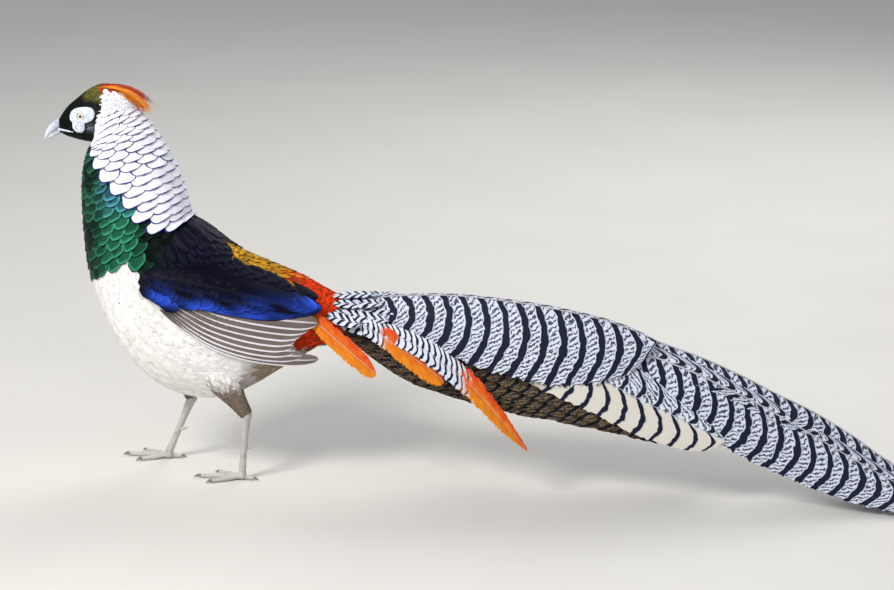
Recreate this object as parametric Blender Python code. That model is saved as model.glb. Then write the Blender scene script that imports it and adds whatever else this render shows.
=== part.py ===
"""A standing cock ruffed pheasant, life size, as closed solids: the white-caped, long-tailed species.

The bird faces -X with its left side towards -Y and stands on z = 0. Lengths in this file are
millimetres, and each mesh is written in metres.
"""

import math

import bmesh
import bpy
import numpy as np
from mathutils import Vector

MM = 0.001
GAP = 0.35  # clearance between neighbouring solids

# Body stations from the tail root to the head, each a ring through two points of the side view:
# belly or breast x, z, then back x, z, then half the width.
BODY = np.array(
    [
        (222, 212, 226, 232, 7),
        (196, 196, 207, 242, 19),
        (166, 184, 184, 247, 26),
        (140, 168, 164, 256, 37),
        (106, 146, 136, 271, 50),
        (70, 122, 100, 285, 59),
        (34, 104, 68, 297, 64),
        (-8, 101, 42, 309, 67),
        (-50, 112, 22, 324, 68),
        (-90, 142, 10, 334, 66),
        (-118, 180, 2, 341, 64),
        (-136, 222, -6, 347, 61),
        (-149, 262, -13, 354, 58),
        (-155, 305, -20, 378, 54),
        (-157, 345, -28, 405, 50),
        (-157, 380, -40, 430, 46),
        (-155, 405, -54, 453, 41),
        (-150, 427, -68, 474, 34),
        (-141, 446, -84, 491, 27),
        (-139, 449, -122, 509, 23),
    ],
    float,
)
TAIL_CUT, NECK_CUT, HEAD_CUT = 2.0, 12.0, 18.0
BODY_AROUND = 24
BODY_STEP = 0.5

# Head stations from the nape to the bill: throat x, z, then crown x, z, then half the width.
HEAD = np.array(
    [
        (-78, 484, -80, 494, 5),
        (-88, 468, -88, 506, 14),
        (-102, 455, -100, 515, 19.5),
        (-118, 447, -114, 519.5, 22),
        (-134, 443, -130, 519, 22),
        (-147, 444, -146, 511, 20),
        (-159, 446, -160, 500, 17),
        (-169, 448.5, -171, 491, 13.5),
        (-177, 451, -179, 481.5, 10.5),
        (-183, 454, -184.5, 473, 8.5),
    ],
    float,
)
UPPER_BILL = np.array(
    [
        (-183.8, 460.5, -184.9, 474, 7.5),
        (-190, 457, -193, 469, 6.3),
        (-197, 452.5, -200.5, 461.5, 4.6),
        (-202.5, 447.5, -205, 453, 2.8),
        (-205.5, 443.5, -206.8, 445.5, 1.0),
    ],
    float,
)
LOWER_BILL = np.array(
    [
        (-183.6, 452.5, -183.8, 459.8, 6.8),
        (-190, 449.8, -190.2, 456.2, 5.4),
        (-196, 447.3, -196.8, 451.6, 3.4),
        (-200.5, 446.2, -201.2, 448.3, 1.2),
    ],
    float,
)
CREST_CUT_Z = 508.0  # the crown above this height carries the crest

EYE = (-151.0, 14.9, 480.0)
EYE_RADIUS = 6.5
LID_RADIUS, LID_THICK = 5.3, 1.0
NOSTRIL = (-190.0, 6.6, 466.5)
NOSTRIL_RADII = (3.0, 1.5, 1.3)

# Side view of the front edge of the cape, from the nape down to the mantle.
CAPE_EDGE = [(-127, 530), (-124, 470), (-118, 440), (-100, 419), (-83, 400), (-63, 384), (-37, 366), (6, 340)]
CAPE_FAR = [(90, 340), (90, 530)]

# The legs: foot centre x, y, hock x, z, and where the thigh leaves the body x, z.
LEGS = {
    "left": {"foot": (58, -36), "hock": (66, 90), "thigh": (26, 150)},
    "right": {"foot": (-60, 36), "hock": (-26, 88), "thigh": (-44, 146)},
}
KNUCKLE_Z = 10.0
HOCK_RADIUS = 7.0
# Toes: heading in degrees from straight ahead (outward positive), length, radius.
TOES = {"middle": (2, 55, 3.6), "inner": (-27, 38, 3.3), "outer": (30, 42, 3.3), "hind": (172, 17, 2.8)}
CLAW_LENGTH = {"middle": 10.0, "inner": 8.0, "outer": 8.0, "hind": 6.5}
TOE_AXIS_Z = 3.0

# Tail feathers as rows of shaft x, y, z, then the left half's slope and width and the right half's.
# Slopes are degrees: the left half falls and the right half rises for positive numbers.
NEAR_LONG = np.array(
    [
        (190, -3, 232, 20, 8, 0, 8),
        (260, -8, 237, 42, 32, 10, 12),
        (350, -11, 239, 54, 50, 20, 14),
        (450, -13, 229, 60, 62, 32, 16),
        (540, -14, 208, 63, 68, 38, 17),
        (600, -14, 187, 64, 72, 38, 17),
        (650, -14, 169, 65, 75, 38, 17),
        (692, -14, 150, 65, 76, 38, 17),
        (735, -14, 130, 64, 76, 38, 17),
        (778, -14, 107, 62, 72, 40, 16),
        (820, -15, 84, 58, 66, 40, 16),
        (869, -16, 57, 49, 56, 38, 15),
        (920, -18, 32, 32, 46, 24, 14),
        (975, -20, 13, 13, 36, 10, 13),
        (1040, -22, 3.2, 4, 24, 0, 10),
        (1100, -23, 0.45, 0, 11, 0, 6),
        (1128, -24, 0.25, 0, 2, 0, 1.5),
    ],
    float,
)
FAR_LONG = np.array(
    [
        (190, 4, 230, 5, 8, -20, 8),
        (260, 8, 234, 20, 18, -30, 28),
        (350, 11, 238, 30, 28, -38, 46),
        (450, 12, 233, 36, 36, -44, 54),
        (540, 12, 219, 38, 42, -46, 58),
        (600, 12, 201, 39, 44, -46, 60),
        (660, 12, 181, 39, 44, -45, 60),
        (710, 12, 160, 39, 44, -44, 60),
        (755, 12, 138, 40, 44, -42, 58),
        (805, 12, 115, 43, 42, -38, 54),
        (858, 12, 84, 46, 38, -30, 48),
        (916, 12, 44, 36, 30, -16, 40),
        (970, 12, 18, 16, 24, -8, 32),
        (1030, 11, 5, 4, 16, -2, 22),
        (1095, 9, 0.6, 0, 10, 0, 11),
        (1140, 8, 0.25, 0, 2, 0, 2),
    ],
    float,
)
TOP_COVERT = np.array(
    [
        (188, -4, 230, 30, 8, -10, 8),
        (230, -7, 247, 50, 38, -12, 18),
        (280, -8, 254, 55, 66, -12, 25),
        (340, -8, 256, 57, 84, -12, 30),
        (400, -8, 252, 59, 96, -12, 32),
        (450, -9, 247, 60, 101, -12, 32),
        (500, -10, 239, 61, 95, -12, 31),
        (545, -10, 229, 61, 76, -12, 28),
        (580, -10, 217, 60, 46, -12, 18),
        (602, -10, 208, 60, 5, -12, 3),
    ],
    float,
)
SIDE_ONE = np.array(
    [
        (192, -8, 224, 50, 8, 45, 6),
        (280, -22, 218, 62, 30, 52, 20),
        (405, -33, 208, 66, 44, 60, 28),
        (484, -41, 184, 68, 48, 62, 36),
        (537, -44, 162, 70, 48, 63, 40),
        (589, -45, 137, 70, 46, 64, 38),
        (640, -45, 114, 70, 38, 64, 30),
        (675, -45, 98, 70, 22, 64, 16),
        (694, -45, 89, 70, 3, 64, 3),
    ],
    float,
)
SIDE_TWO = np.array(
    [
        (192, -8, 218, 55, 6, 55, 5),
        (280, -22, 194, 68, 24, 60, 14),
        (380, -31, 168, 70, 30, 62, 18),
        (480, -36, 137, 72, 28, 64, 18),
        (550, -38, 108, 72, 18, 64, 12),
        (585, -38, 92, 72, 3, 64, 2),
    ],
    float,
)
SIDE_THREE = np.array(
    [
        (192, -8, 213, 60, 6, 60, 5),
        (260, -19, 190, 70, 22, 62, 12),
        (340, -26, 162, 72, 28, 64, 14),
        (430, -30, 130, 74, 24, 66, 12),
        (492, -31, 105, 74, 3, 66, 2),
    ],
    float,
)
SIDE_FOUR = np.array(
    [
        (192, -8, 208, 62, 6, 60, 5),
        (250, -16, 184, 72, 20, 64, 10),
        (310, -21, 158, 74, 24, 66, 12),
        (370, -23, 134, 74, 18, 66, 10),
        (412, -23, 115, 74, 3, 66, 2),
    ],
    float,
)
SIDE_FIVE = np.array(
    [
        (192, -8, 203, 64, 6, 60, 5),
        (235, -12, 182, 72, 16, 64, 8),
        (280, -15, 160, 74, 20, 66, 10),
        (318, -16, 140, 74, 12, 66, 6),
        (337, -16, 131, 74, 3, 66, 2),
    ],
    float,
)
# The rump that the tail's feathers grow from, as body stations.
TAIL_CORE = np.array(
    [
        (306, 198, 308, 222, 3),
        (270, 180, 276, 234, 13),
        (232, 170, 242, 243, 22),
        (196, 175, 212, 247, 26),
        (166, 184, 184, 247, 26),
        (140, 168, 164, 256, 30),
    ],
    float,
)
# Orange-tipped coverts that hang beside the tail, outside the barred ones.
TIPPED_COVERTS = [
    np.array(rows, float)
    for rows in (
        [(190, -16, 232, 70, 7, 70, 7), (212, -41, 212, 76, 12, 76, 12), (232, -48, 186, 78, 12, 78, 11),
         (252, -50, 160, 78, 2, 78, 2)],
        [(192, -14, 226, 70, 7, 70, 7), (244, -48, 210, 76, 12, 76, 12), (288, -57, 178, 78, 12, 78, 11),
         (327, -60, 148, 78, 2, 78, 2)],
        [(194, -12, 220, 70, 6, 70, 6), (290, -58, 205, 76, 11, 76, 11), (362, -68, 160, 78, 13, 78, 13),
         (410, -66, 108, 78, 11, 78, 11), (442, -60, 68, 78, 2, 78, 2)],
    )
]
FAR_SIDE_TILT = 14.0  # the far side's feathers lie this much flatter, because the tail leans to the left
VANE_THICK = 0.9

# Wing feathers as root x, z, tip x, z, width, how far out the root and the tip lie, and how much it bows.
WING_FEATHERS = [
    ((-46, 236), (158, 178), 13, (-4.5, -4.5), 5),
    ((-44, 240), (152, 184), 13, (-3.7, -3.4), 5),
    ((-42, 244), (145, 190), 14, (-2.9, -2.3), 5),
    ((-40, 248), (137, 196), 14, (-2.1, -1.2), 5),
    ((-38, 252), (140, 203), 15, (-1.3, -0.1), 5),
    ((-36, 257), (146, 210), 15, (-0.5, 1.0), 4),
    ((-34, 262), (150, 217), 16, (0.3, 2.1), 3),
    ((-30, 267), (158, 225), 18, (1.1, 3.2), 2),
    ((-26, 272), (170, 236), 20, (1.6, 4.3), 1),
    ((-18, 281), (150, 249), 22, (1.8, 5.2), 0),
]
# Coverts over their roots, in the same order of values, two tiers and the topmost pair.
WING_COVERTS = [
    ((-66, 256), (-14, 231), 17, (0.4, 4.2), 2),
    ((-58, 264), (6, 236), 18, (0.9, 5.0), 2),
    ((-50, 273), (30, 243), 19, (1.4, 5.8), 1),
    ((-40, 282), (56, 251), 20, (1.8, 6.6), 1),
    ((-30, 291), (84, 260), 20, (2.0, 7.2), 0),
    ((-70, 270), (-30, 251), 17, (1.4, 5.6), 1),
    ((-60, 280), (-12, 263), 18, (1.8, 6.4), 1),
    ((-46, 291), (10, 273), 19, (2.0, 7.2), 0),
    ((-74, 284), (-44, 270), 16, (1.4, 6.2), 0),
    ((-62, 295), (-26, 282), 17, (1.6, 6.8), 0),
]
# The wing's core as stations along it, low point x, z, high point x, z and half its thickness.
WING_CORE = np.array(
    [
        (-84, 270, -80, 300, 3),
        (-62, 238, -50, 303, 10),
        (-20, 214, 0, 299, 13),
        (40, 196, 60, 290, 12),
        (96, 200, 112, 262, 8),
        (130, 212, 140, 240, 3),
    ],
    float,
)
# The cape: rows of feathers, and how far round the neck each row reaches, in radians, at a body station.
CAPE_ROWS = 6
CAPE_FIRST, CAPE_LAST = 18.75, 12.75  # body stations of the first and last row of roots
CAPE_SPREAD = [(12, 0.25), (13, 0.72), (14, 1.1), (15, 1.36), (16, 1.55), (17, 1.75), (18, 1.95), (19, 2.05)]
# Crest locks as root x, y, tip x, y, z, the height of their arch and the width at their middle.
CREST_LOCKS = [
    (-134, 0, -66, -1, 499, 8, 9),
    (-132, -7, -60, -7, 491, 9, 8),
    (-132, 7, -61, 6, 492, 9, 8),
    (-126, -11, -72, -14, 493, 7, 8),
    (-126, 11, -73, 13, 494, 7, 8),
    (-122, 4, -78, 4, 505, 5, 8),
    (-122, -4, -80, -4, 506, 5, 8),
]

# Colour as linear red, green and blue, then roughness, for the nodes whose names start so.
FINISHES = {
    "torso": ((0.85, 0.84, 0.82), 0.8),
    "neck": ((0.02, 0.12, 0.08), 0.4),
    "cape": ((0.84, 0.84, 0.9), 0.6),
    "head": ((0.01, 0.03, 0.02), 0.5),
    "crest": ((0.75, 0.13, 0.03), 0.45),
    "bill": ((0.62, 0.64, 0.68), 0.3),
    "face_skin": ((0.72, 0.78, 0.86), 0.55),
    "eye": ((0.75, 0.7, 0.5), 0.12),
    "wing": ((0.02, 0.03, 0.16), 0.4),
    "thigh": ((0.5, 0.42, 0.36), 0.8),
    "shank": ((0.52, 0.5, 0.47), 0.5),
    "foot": ((0.52, 0.5, 0.47), 0.5),
    "claw": ((0.14, 0.11, 0.09), 0.3),
    "tail": ((0.6, 0.6, 0.62), 0.55),
}
SHARP_ANGLE = math.radians(35)  # edges that bend more than this stay crisp when the surface is smoothed


def rows_at(table, s):
    """Catmull-Rom reading of a table at fractional row numbers s."""
    s = np.clip(np.atleast_1d(np.asarray(s, float)), 0, len(table) - 1)
    i = np.clip(np.floor(s).astype(int), 0, len(table) - 2)
    t = (s - i)[:, None]
    a = table[np.maximum(i - 1, 0)]
    b = table[i]
    c = table[i + 1]
    d = table[np.minimum(i + 2, len(table) - 1)]
    return 0.5 * (2 * b + (c - a) * t + (2 * a - 5 * b + 4 * c - d) * t**2 + (3 * b - a - 3 * c + d) * t**3)


def section_points(table, s, theta, grow=0.0):
    """Surface points at ring s and angle theta, 0 on the back or crown and pi on the belly or throat."""
    row = rows_at(table, s)
    grow = np.broadcast_to(grow, len(row))
    low, high = row[:, 0:2], row[:, 2:4]
    centre = (low + high) / 2
    span = np.linalg.norm(high - low, axis=1, keepdims=True)
    up = (high - low) / span
    side = centre + up * (span / 2 + grow[:, None]) * np.cos(theta)[:, None]
    return np.stack([side[:, 0], (row[:, 4] + grow) * np.sin(theta), side[:, 1]], axis=1)


def stacked_rings(table, stations, around, grow=0.0):
    """Rings of points around a table's stations, as an array of ring, point and x, y, z."""
    angles = np.arange(around) * 2 * math.pi / around
    return np.array([section_points(table, np.full(around, s), angles, grow) for s in stations])


def ring_solid(rings):
    """Triangles of a closed solid through rings of points, with a fan over each end."""
    count, around = rings.shape[:2]
    points = np.concatenate([rings.reshape(-1, 3), rings[:1].mean(axis=1), rings[-1:].mean(axis=1)])
    faces = []
    for k in range(count - 1):
        for j in range(around):
            a, b = k * around + j, k * around + (j + 1) % around
            faces += [(a, b, a + around), (b, b + around, a + around)]
    first, last = count * around, count * around + 1
    for j in range(around):
        n = (j + 1) % around
        faces += [(first, n, j), (last, (count - 1) * around + j, (count - 1) * around + n)]
    return points, faces


def add_object(name, points, faces):
    """A mesh object in metres from points in millimetres, with its faces turned outwards."""
    points = np.asarray(points, float)
    corners = points[np.asarray(faces)]
    volume = np.einsum("ij,ij->i", corners[:, 0], np.cross(corners[:, 1], corners[:, 2])).sum()
    if volume < 0:
        faces = [tuple(reversed(f)) for f in faces]
    mesh = bpy.data.meshes.new(name)
    mesh.from_pydata((points * MM).tolist(), [], [tuple(int(i) for i in f) for f in faces])
    obj = bpy.data.objects.new(name, mesh)
    bpy.context.scene.collection.objects.link(obj)
    return obj


def finish(node):
    """Gives a node its own material, and smooth shading that stops at its sharp edges."""
    start = max((key for key in FINISHES if node.name.startswith(key)), key=len)
    colour, roughness = FINISHES[start]
    made = bpy.data.materials.new(node.name + "_finish")
    made.use_nodes = True
    shader = made.node_tree.nodes["Principled BSDF"]
    shader.inputs["Base Color"].default_value = (*colour, 1)
    shader.inputs["Roughness"].default_value = roughness
    mesh = node.data
    mesh.materials.clear()
    mesh.materials.append(made)
    mesh.shade_smooth()
    mesh.set_sharp_from_angle(angle=SHARP_ANGLE)


def ellipsoid(name, centre, radii, around=16, rings=9):
    """A ball stretched by three radii, with its poles on the X axis."""
    angles = np.linspace(0.12, math.pi - 0.12, rings)
    turn = np.arange(around) * 2 * math.pi / around
    stack = []
    for a in angles:
        x = np.full(around, math.cos(a))
        stack.append(np.stack([x, math.sin(a) * np.cos(turn), math.sin(a) * np.sin(turn)], axis=1))
    points, faces = ring_solid(np.array(stack))
    points[-2], points[-1] = (1, 0, 0), (-1, 0, 0)
    return add_object(name, points * np.array(radii) + np.array(centre), faces)


def round_ring(name, centre, radius, thick, around=16, sides=6):
    """A round ring about the Y axis, such as an eyelid's rim."""
    turn = np.arange(around) * 2 * math.pi / around
    bend = np.arange(sides) * 2 * math.pi / sides
    reach = radius + thick * np.cos(bend)[None, :]
    x, z = reach * np.cos(turn)[:, None], reach * np.sin(turn)[:, None]
    points = np.stack([x, np.broadcast_to(thick * np.sin(bend), x.shape), z], axis=-1).reshape(-1, 3)
    faces = []
    for i in range(around):
        for j in range(sides):
            a, b = i * sides + j, i * sides + (j + 1) % sides
            c, d = (i + 1) % around * sides + j, (i + 1) % around * sides + (j + 1) % sides
            faces += [(a, b, d), (a, d, c)]
    return add_object(name, points + np.array(centre), faces)


def tube(name, path, radii, around=10, flat=1.0):
    """A round tube through path points; flat scales its height against its width."""
    path = np.asarray(path, float)
    radii = np.asarray(radii, float)
    ways = np.gradient(path, axis=0)
    turn = np.arange(around) * 2 * math.pi / around
    rings = []
    for point, way, radius in zip(path, ways, radii):
        way = Vector(way).normalized()
        across = way.cross(Vector((0, 1, 0)) if abs(way.y) < 0.7 else Vector((0, 0, 1))).normalized()
        other = way.cross(across).normalized()
        ring = np.outer(np.cos(turn), np.array(across)) * flat + np.outer(np.sin(turn), np.array(other))
        rings.append(point + ring * radius)
    points, faces = ring_solid(np.array(rings))
    return add_object(name, points, faces)


def prism(name, outline, low_y, high_y):
    """A block with an outline of x, z points between two values of y."""
    n = len(outline)
    points = [(x, low_y, z) for x, z in outline] + [(x, high_y, z) for x, z in outline]
    bm = bmesh.new()
    verts = [bm.verts.new(p) for p in points]
    bm.faces.new(verts[:n])
    bm.faces.new(list(reversed(verts[n:])))
    for i in range(n):
        j = (i + 1) % n
        bm.faces.new((verts[i], verts[n + i], verts[n + j], verts[j]))
    bmesh.ops.triangulate(bm, faces=bm.faces[:])
    bm.verts.index_update()
    places = np.array([v.co[:] for v in bm.verts])
    bmesh.ops.recalc_face_normals(bm, faces=bm.faces[:])
    corners = [tuple(v.index for v in f.verts) for f in bm.faces]
    bm.free()
    return add_object(name, places, corners)


def combine(base, others, operation, solver="EXACT"):
    """One applied Boolean of base with all the others, which are then removed; the largest surface stays."""
    group = bpy.data.collections.new("group")
    bpy.context.scene.collection.children.link(group)
    for other in others:
        bpy.context.scene.collection.objects.unlink(other)
        group.objects.link(other)
    change = base.modifiers.new("combine", "BOOLEAN")
    change.operation = operation
    change.operand_type = "COLLECTION"
    change.collection = group
    change.solver = solver
    bpy.context.view_layer.update()
    graph = bpy.context.evaluated_depsgraph_get()
    made = bpy.data.meshes.new_from_object(base.evaluated_get(graph))
    base.modifiers.clear()
    old, base.data = base.data, made
    bpy.data.meshes.remove(old)
    for other in others:
        bpy.data.objects.remove(other)
    bpy.data.collections.remove(group)
    keep_largest(base)
    return base


def keep_largest(obj):
    """Leaves only the closed surface that holds the most volume."""
    bm = bmesh.new()
    bm.from_mesh(obj.data)
    bmesh.ops.triangulate(bm, faces=bm.faces[:])
    left = set(bm.faces)
    groups = []
    while left:
        seed = left.pop()
        shell, edge = [seed], [seed]
        while edge:
            face = edge.pop()
            for side in face.edges:
                for near in side.link_faces:
                    if near in left:
                        left.remove(near)
                        shell.append(near)
                        edge.append(near)
        volume = sum(f.verts[0].co.dot(f.verts[1].co.cross(f.verts[2].co)) for f in shell)
        groups.append((abs(volume), shell))
    groups.sort(key=lambda pair: pair[0])
    scraps = [face for _, shell in groups[:-1] for face in shell]
    bmesh.ops.delete(bm, geom=scraps, context="FACES")
    bm.to_mesh(obj.data)
    bm.free()


def cut_flat(obj, point, normal):
    """Keeps the side that normal points away from, with a flat face where the plane cuts."""
    bm = bmesh.new()
    bm.from_mesh(obj.data)
    geom = bm.verts[:] + bm.edges[:] + bm.faces[:]
    cut = bmesh.ops.bisect_plane(
        bm, geom=geom, dist=1e-7, plane_co=np.array(point) * MM, plane_no=normal, clear_outer=True
    )
    edges = [e for e in cut["geom_cut"] if isinstance(e, bmesh.types.BMEdge)]
    bmesh.ops.holes_fill(bm, edges=edges, sides=0)
    bmesh.ops.triangulate(bm, faces=bm.faces[:])
    bmesh.ops.recalc_face_normals(bm, faces=bm.faces[:])
    bm.to_mesh(obj.data)
    bm.free()
    return obj


def body_loft(name, first, last, grow=0.0, around=BODY_AROUND, step=BODY_STEP):
    """A closed solid through the body's stations from first to last, grown outwards by grow."""
    count = int(round((last - first) / step)) + 1
    rings = stacked_rings(BODY, np.linspace(first, last, count), around, grow)
    return add_object(name, *ring_solid(rings))


def ring_plane(s):
    """Centre and forward normal of the body's ring s."""
    row = rows_at(BODY, s)[0]
    low, high = np.array([row[0], 0, row[1]]), np.array([row[2], 0, row[3]])
    up = (high - low) / np.linalg.norm(high - low)
    return (low + high) / 2, np.array([-up[2], 0, up[0]])


def build_torso():
    """The body's loft from tail root to neck, with a flat face at either end."""
    torso = body_loft("torso", TAIL_CUT, NECK_CUT)
    for s, sense in ((TAIL_CUT, -1), (NECK_CUT, 1)):
        centre, forward = ring_plane(s)
        cut_flat(torso, centre - forward * sense * GAP / 2, forward * sense)
    return torso


def build_neck_and_cape():
    """The neck's loft, parted along the cape's front edge and levelled where head and torso meet it."""
    neck = body_loft("neck", NECK_CUT, HEAD_CUT)
    cape = body_loft("cape", NECK_CUT, 19, -2.0, 14, 1.0)
    for s, sense, pieces in ((NECK_CUT, -1, (neck, cape)), (HEAD_CUT, 1, (neck,))):
        centre, forward = ring_plane(s)
        for piece in pieces:
            cut_flat(piece, centre - forward * sense * GAP / 2, forward * sense)
    combine(cape, [prism("cape_room", CAPE_EDGE + CAPE_FAR, -90, 90)], "INTERSECT")
    combine(cape, cape_vanes(), "UNION")
    cut_away(neck, (-GAP, -GAP))
    centre, forward = ring_plane(NECK_CUT)
    room = body_loft("torso_room", 9, NECK_CUT + 1, GAP + 1, 16, 1.0)
    torso_room = cut_flat(room, centre + forward * GAP / 2, forward)
    neck_room = cut_away(body_loft("neck_room", NECK_CUT - 1, HEAD_CUT, GAP + 1, 16, 1.0), (0, 0))
    head_room = cut_away(loft("head_room", HEAD, 20, GAP), (0, 0))
    combine(cape, [torso_room, neck_room, head_room], "DIFFERENCE")
    cut_flat(cape, (0, 0, CREST_CUT_Z - GAP), (0, 0, 1))
    return neck, cape


def cut_away(piece, shift):
    """Takes the cape's region out of a piece, with its edge moved by shift in the side view."""
    edge = [(x + shift[0], z + shift[1]) for x, z in CAPE_EDGE]
    return combine(piece, [prism("cape_clearance", edge + CAPE_FAR, -90, 90)], "DIFFERENCE")


def loft(name, table, around, grow=0.0):
    """A closed solid through all rows of a table, with a ring halfway between them."""
    stations = np.arange(0, len(table) - 0.5, 0.5)
    return add_object(name, *ring_solid(stacked_rings(table, stations, around, grow)))


def build_head():
    """The feathered head, the crown that carries the crest, bare face skin, eyes and bill."""
    centre, forward = ring_plane(HEAD_CUT)
    head, crest = loft("head", HEAD, 20), loft("crest", HEAD, 20)
    cut_flat(head, centre + forward * GAP / 2, -forward)
    cut_flat(head, (0, 0, CREST_CUT_Z - GAP), (0, 0, 1))
    cut_away(head, (-GAP, 0))
    cut_flat(crest, (0, 0, CREST_CUT_Z), (0, 0, -1))
    combine(crest, crest_locks(), "UNION")
    grown = loft("head_room", HEAD, 20, GAP)
    faces = []
    for name, side in (("left", -1), ("right", 1)):
        x, y, z = EYE[0], EYE[1] * side, EYE[2]
        skin = ellipsoid("face_skin_" + name, (-150, 16.6 * side, 479), (19, 3.6, 13), 16, 9)
        lappet = ellipsoid("lappet", (-154, 14.0 * side, 464), (8.5, 5, 9.5), 12, 7)
        combine(skin, [lappet, round_ring("lid", (x, 19.6 * side, z), LID_RADIUS, LID_THICK)], "UNION")
        room = grown.copy()
        room.data = grown.data.copy()
        bpy.context.scene.collection.objects.link(room)
        ball_room = ellipsoid("ball_room", (x, y, z), (EYE_RADIUS + GAP,) * 3, 16, 9)
        combine(skin, [room, ball_room], "DIFFERENCE")
        combine(head, [ellipsoid("socket", (x, y, z), (EYE_RADIUS + GAP,) * 3, 16, 9)], "DIFFERENCE")
        ball = ellipsoid("eye_" + name, (x, y, z), (EYE_RADIUS,) * 3, 16, 9)
        faces += [skin, ball]
    bpy.data.objects.remove(grown)
    upper = loft("bill_upper", UPPER_BILL, 14)
    x, y, z = NOSTRIL
    holes = [ellipsoid("nostril", (x, y * sign, z), NOSTRIL_RADII, 8, 5) for sign in (-1, 1)]
    combine(upper, holes, "DIFFERENCE")
    lower = loft("bill_lower", LOWER_BILL, 12)
    return [head, crest, upper, lower] + faces


def along(start, heading, length, heights):
    """Points from start along a heading in the floor's plane, at the given heights."""
    way = np.array([math.cos(heading), math.sin(heading)])
    steps = np.linspace(0, length, len(heights))
    return [(start[0] + way[0] * d, start[1] + way[1] * d, h) for d, h in zip(steps, heights)]


def build_leg(side):
    """Feathered thigh, scaled shank with a spur, and a foot of four toes with claws as solids of their own."""
    sign = -1 if side == "left" else 1
    leg = LEGS[side]
    foot_x, y = leg["foot"]
    hock_x, hock_z = leg["hock"]
    thigh_x, thigh_z = leg["thigh"]
    made = []
    toes = []
    for toe, (degrees, length, radius) in TOES.items():
        heading = math.radians(180 - sign * degrees)
        heights = (5.5, TOE_AXIS_Z + 1.0, TOE_AXIS_Z + 0.6, TOE_AXIS_Z, TOE_AXIS_Z)
        path = along((foot_x, y), heading, length, heights)
        swell = np.array((1.25, 0.95, 1.12, 0.92, 0.85)) * radius
        toes.append(tube("toe_" + toe, path, swell, 8, 0.95))
        tip = path[-1]
        begin = (tip[0] + math.cos(heading) * GAP, tip[1] + math.sin(heading) * GAP)
        claw_radii = np.array((0.62, 0.5, 0.34, 0.12)) * radius
        claw_path = along(begin, heading, CLAW_LENGTH[toe], (TOE_AXIS_Z, TOE_AXIS_Z + 0.5, 2.4, 1.2))
        made.append(tube(f"claw_{side}_{toe}", claw_path, claw_radii, 8))
    low = np.array((foot_x + 0.5, y, KNUCKLE_Z))
    high = np.array((hock_x, y, hock_z))
    lean = (high - low) / np.linalg.norm(high - low)
    core = [(foot_x, y, -2), (foot_x, y, 3), low, low + lean * 4]
    foot = combine(tube("foot_" + side, core, (5.5, 7.2, 5.2, 5.0), 12), toes, "UNION")
    cut_flat(foot, (0, 0, KNUCKLE_Z), (0, 0, 1))
    made.append(cut_flat(foot, (0, 0, 0), (0, 0, -1)))
    steps = np.linspace(-0.06, 1, 8)[:, None]
    shank = tube("shank_" + side, low + (high - low) * steps, (5.0, 5.0, 4.4, 4.3, 4.5, 4.9, 5.8, 6.2), 12)
    cut_flat(shank, (0, 0, KNUCKLE_Z + GAP), (0, 0, -1))
    spur_root = low + (high - low) * 0.42
    spur_path = [spur_root, spur_root + (7, -sign * 2, 1), spur_root + (14, -sign * 4, 3.5)]
    spur = tube("spur", spur_path, (3.2, 2.4, 0.5), 8)
    knob = ellipsoid("knob", high, (HOCK_RADIUS,) * 3, 12, 7)
    made.append(combine(shank, [spur, knob], "UNION"))
    top = np.array((thigh_x, y, thigh_z))
    path = [top + (top - high) * 0.25, top, top * 0.6 + high * 0.4, top * 0.25 + high * 0.75, high]
    thigh = tube("thigh_" + side, path, (26, 24, 15.5, 9.5, 6.8), 14, 1.25)
    room = body_loft("torso_room", 1.5, 13, GAP)
    knob_room = ellipsoid("knob_room", high, (HOCK_RADIUS + GAP,) * 3, 12, 7)
    grown_shank = tube("shank_room", [high, high * 0.6 + low * 0.4], (6.2 + GAP, 6.2), 12)
    made.append(combine(thigh, [room, knob_room, grown_shank], "DIFFERENCE"))
    return made


def sheet_points(rows, steps, bow=0.0, thick=VANE_THICK):
    """Top and bottom grids of one tail feather, from the left edge past the shaft to the right edge."""
    line = rows_at(rows, np.linspace(0, len(rows) - 1, steps))
    shaft = line[:, 0:3]
    a, left, b, right = np.radians(line[:, 3]), line[:, 4], np.radians(line[:, 5]), line[:, 6]
    none = np.zeros(steps)
    down = np.stack([none, -np.cos(a), -np.sin(a)], axis=1)
    up = np.stack([none, np.cos(b), np.sin(b)], axis=1)
    out_left = np.stack([none, -np.sin(a), np.cos(a)], axis=1)
    out_right = np.stack([none, -np.sin(b), np.cos(b)], axis=1)
    top = [shaft + down * left[:, None]]
    if bow:
        top.append(shaft + (down * 0.5 + out_left * bow) * left[:, None])
    top.append(shaft)
    if bow:
        top.append(shaft + (up * 0.5 + out_right * bow) * right[:, None])
    top.append(shaft + up * right[:, None])
    top = np.stack(top, axis=1)
    lean = out_left + out_right
    lean /= np.linalg.norm(lean, axis=1, keepdims=True)
    depth = thick * np.clip(left / 6, 0.35, 1)
    return top, top - lean[:, None, :] * depth[:, None, None]


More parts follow.
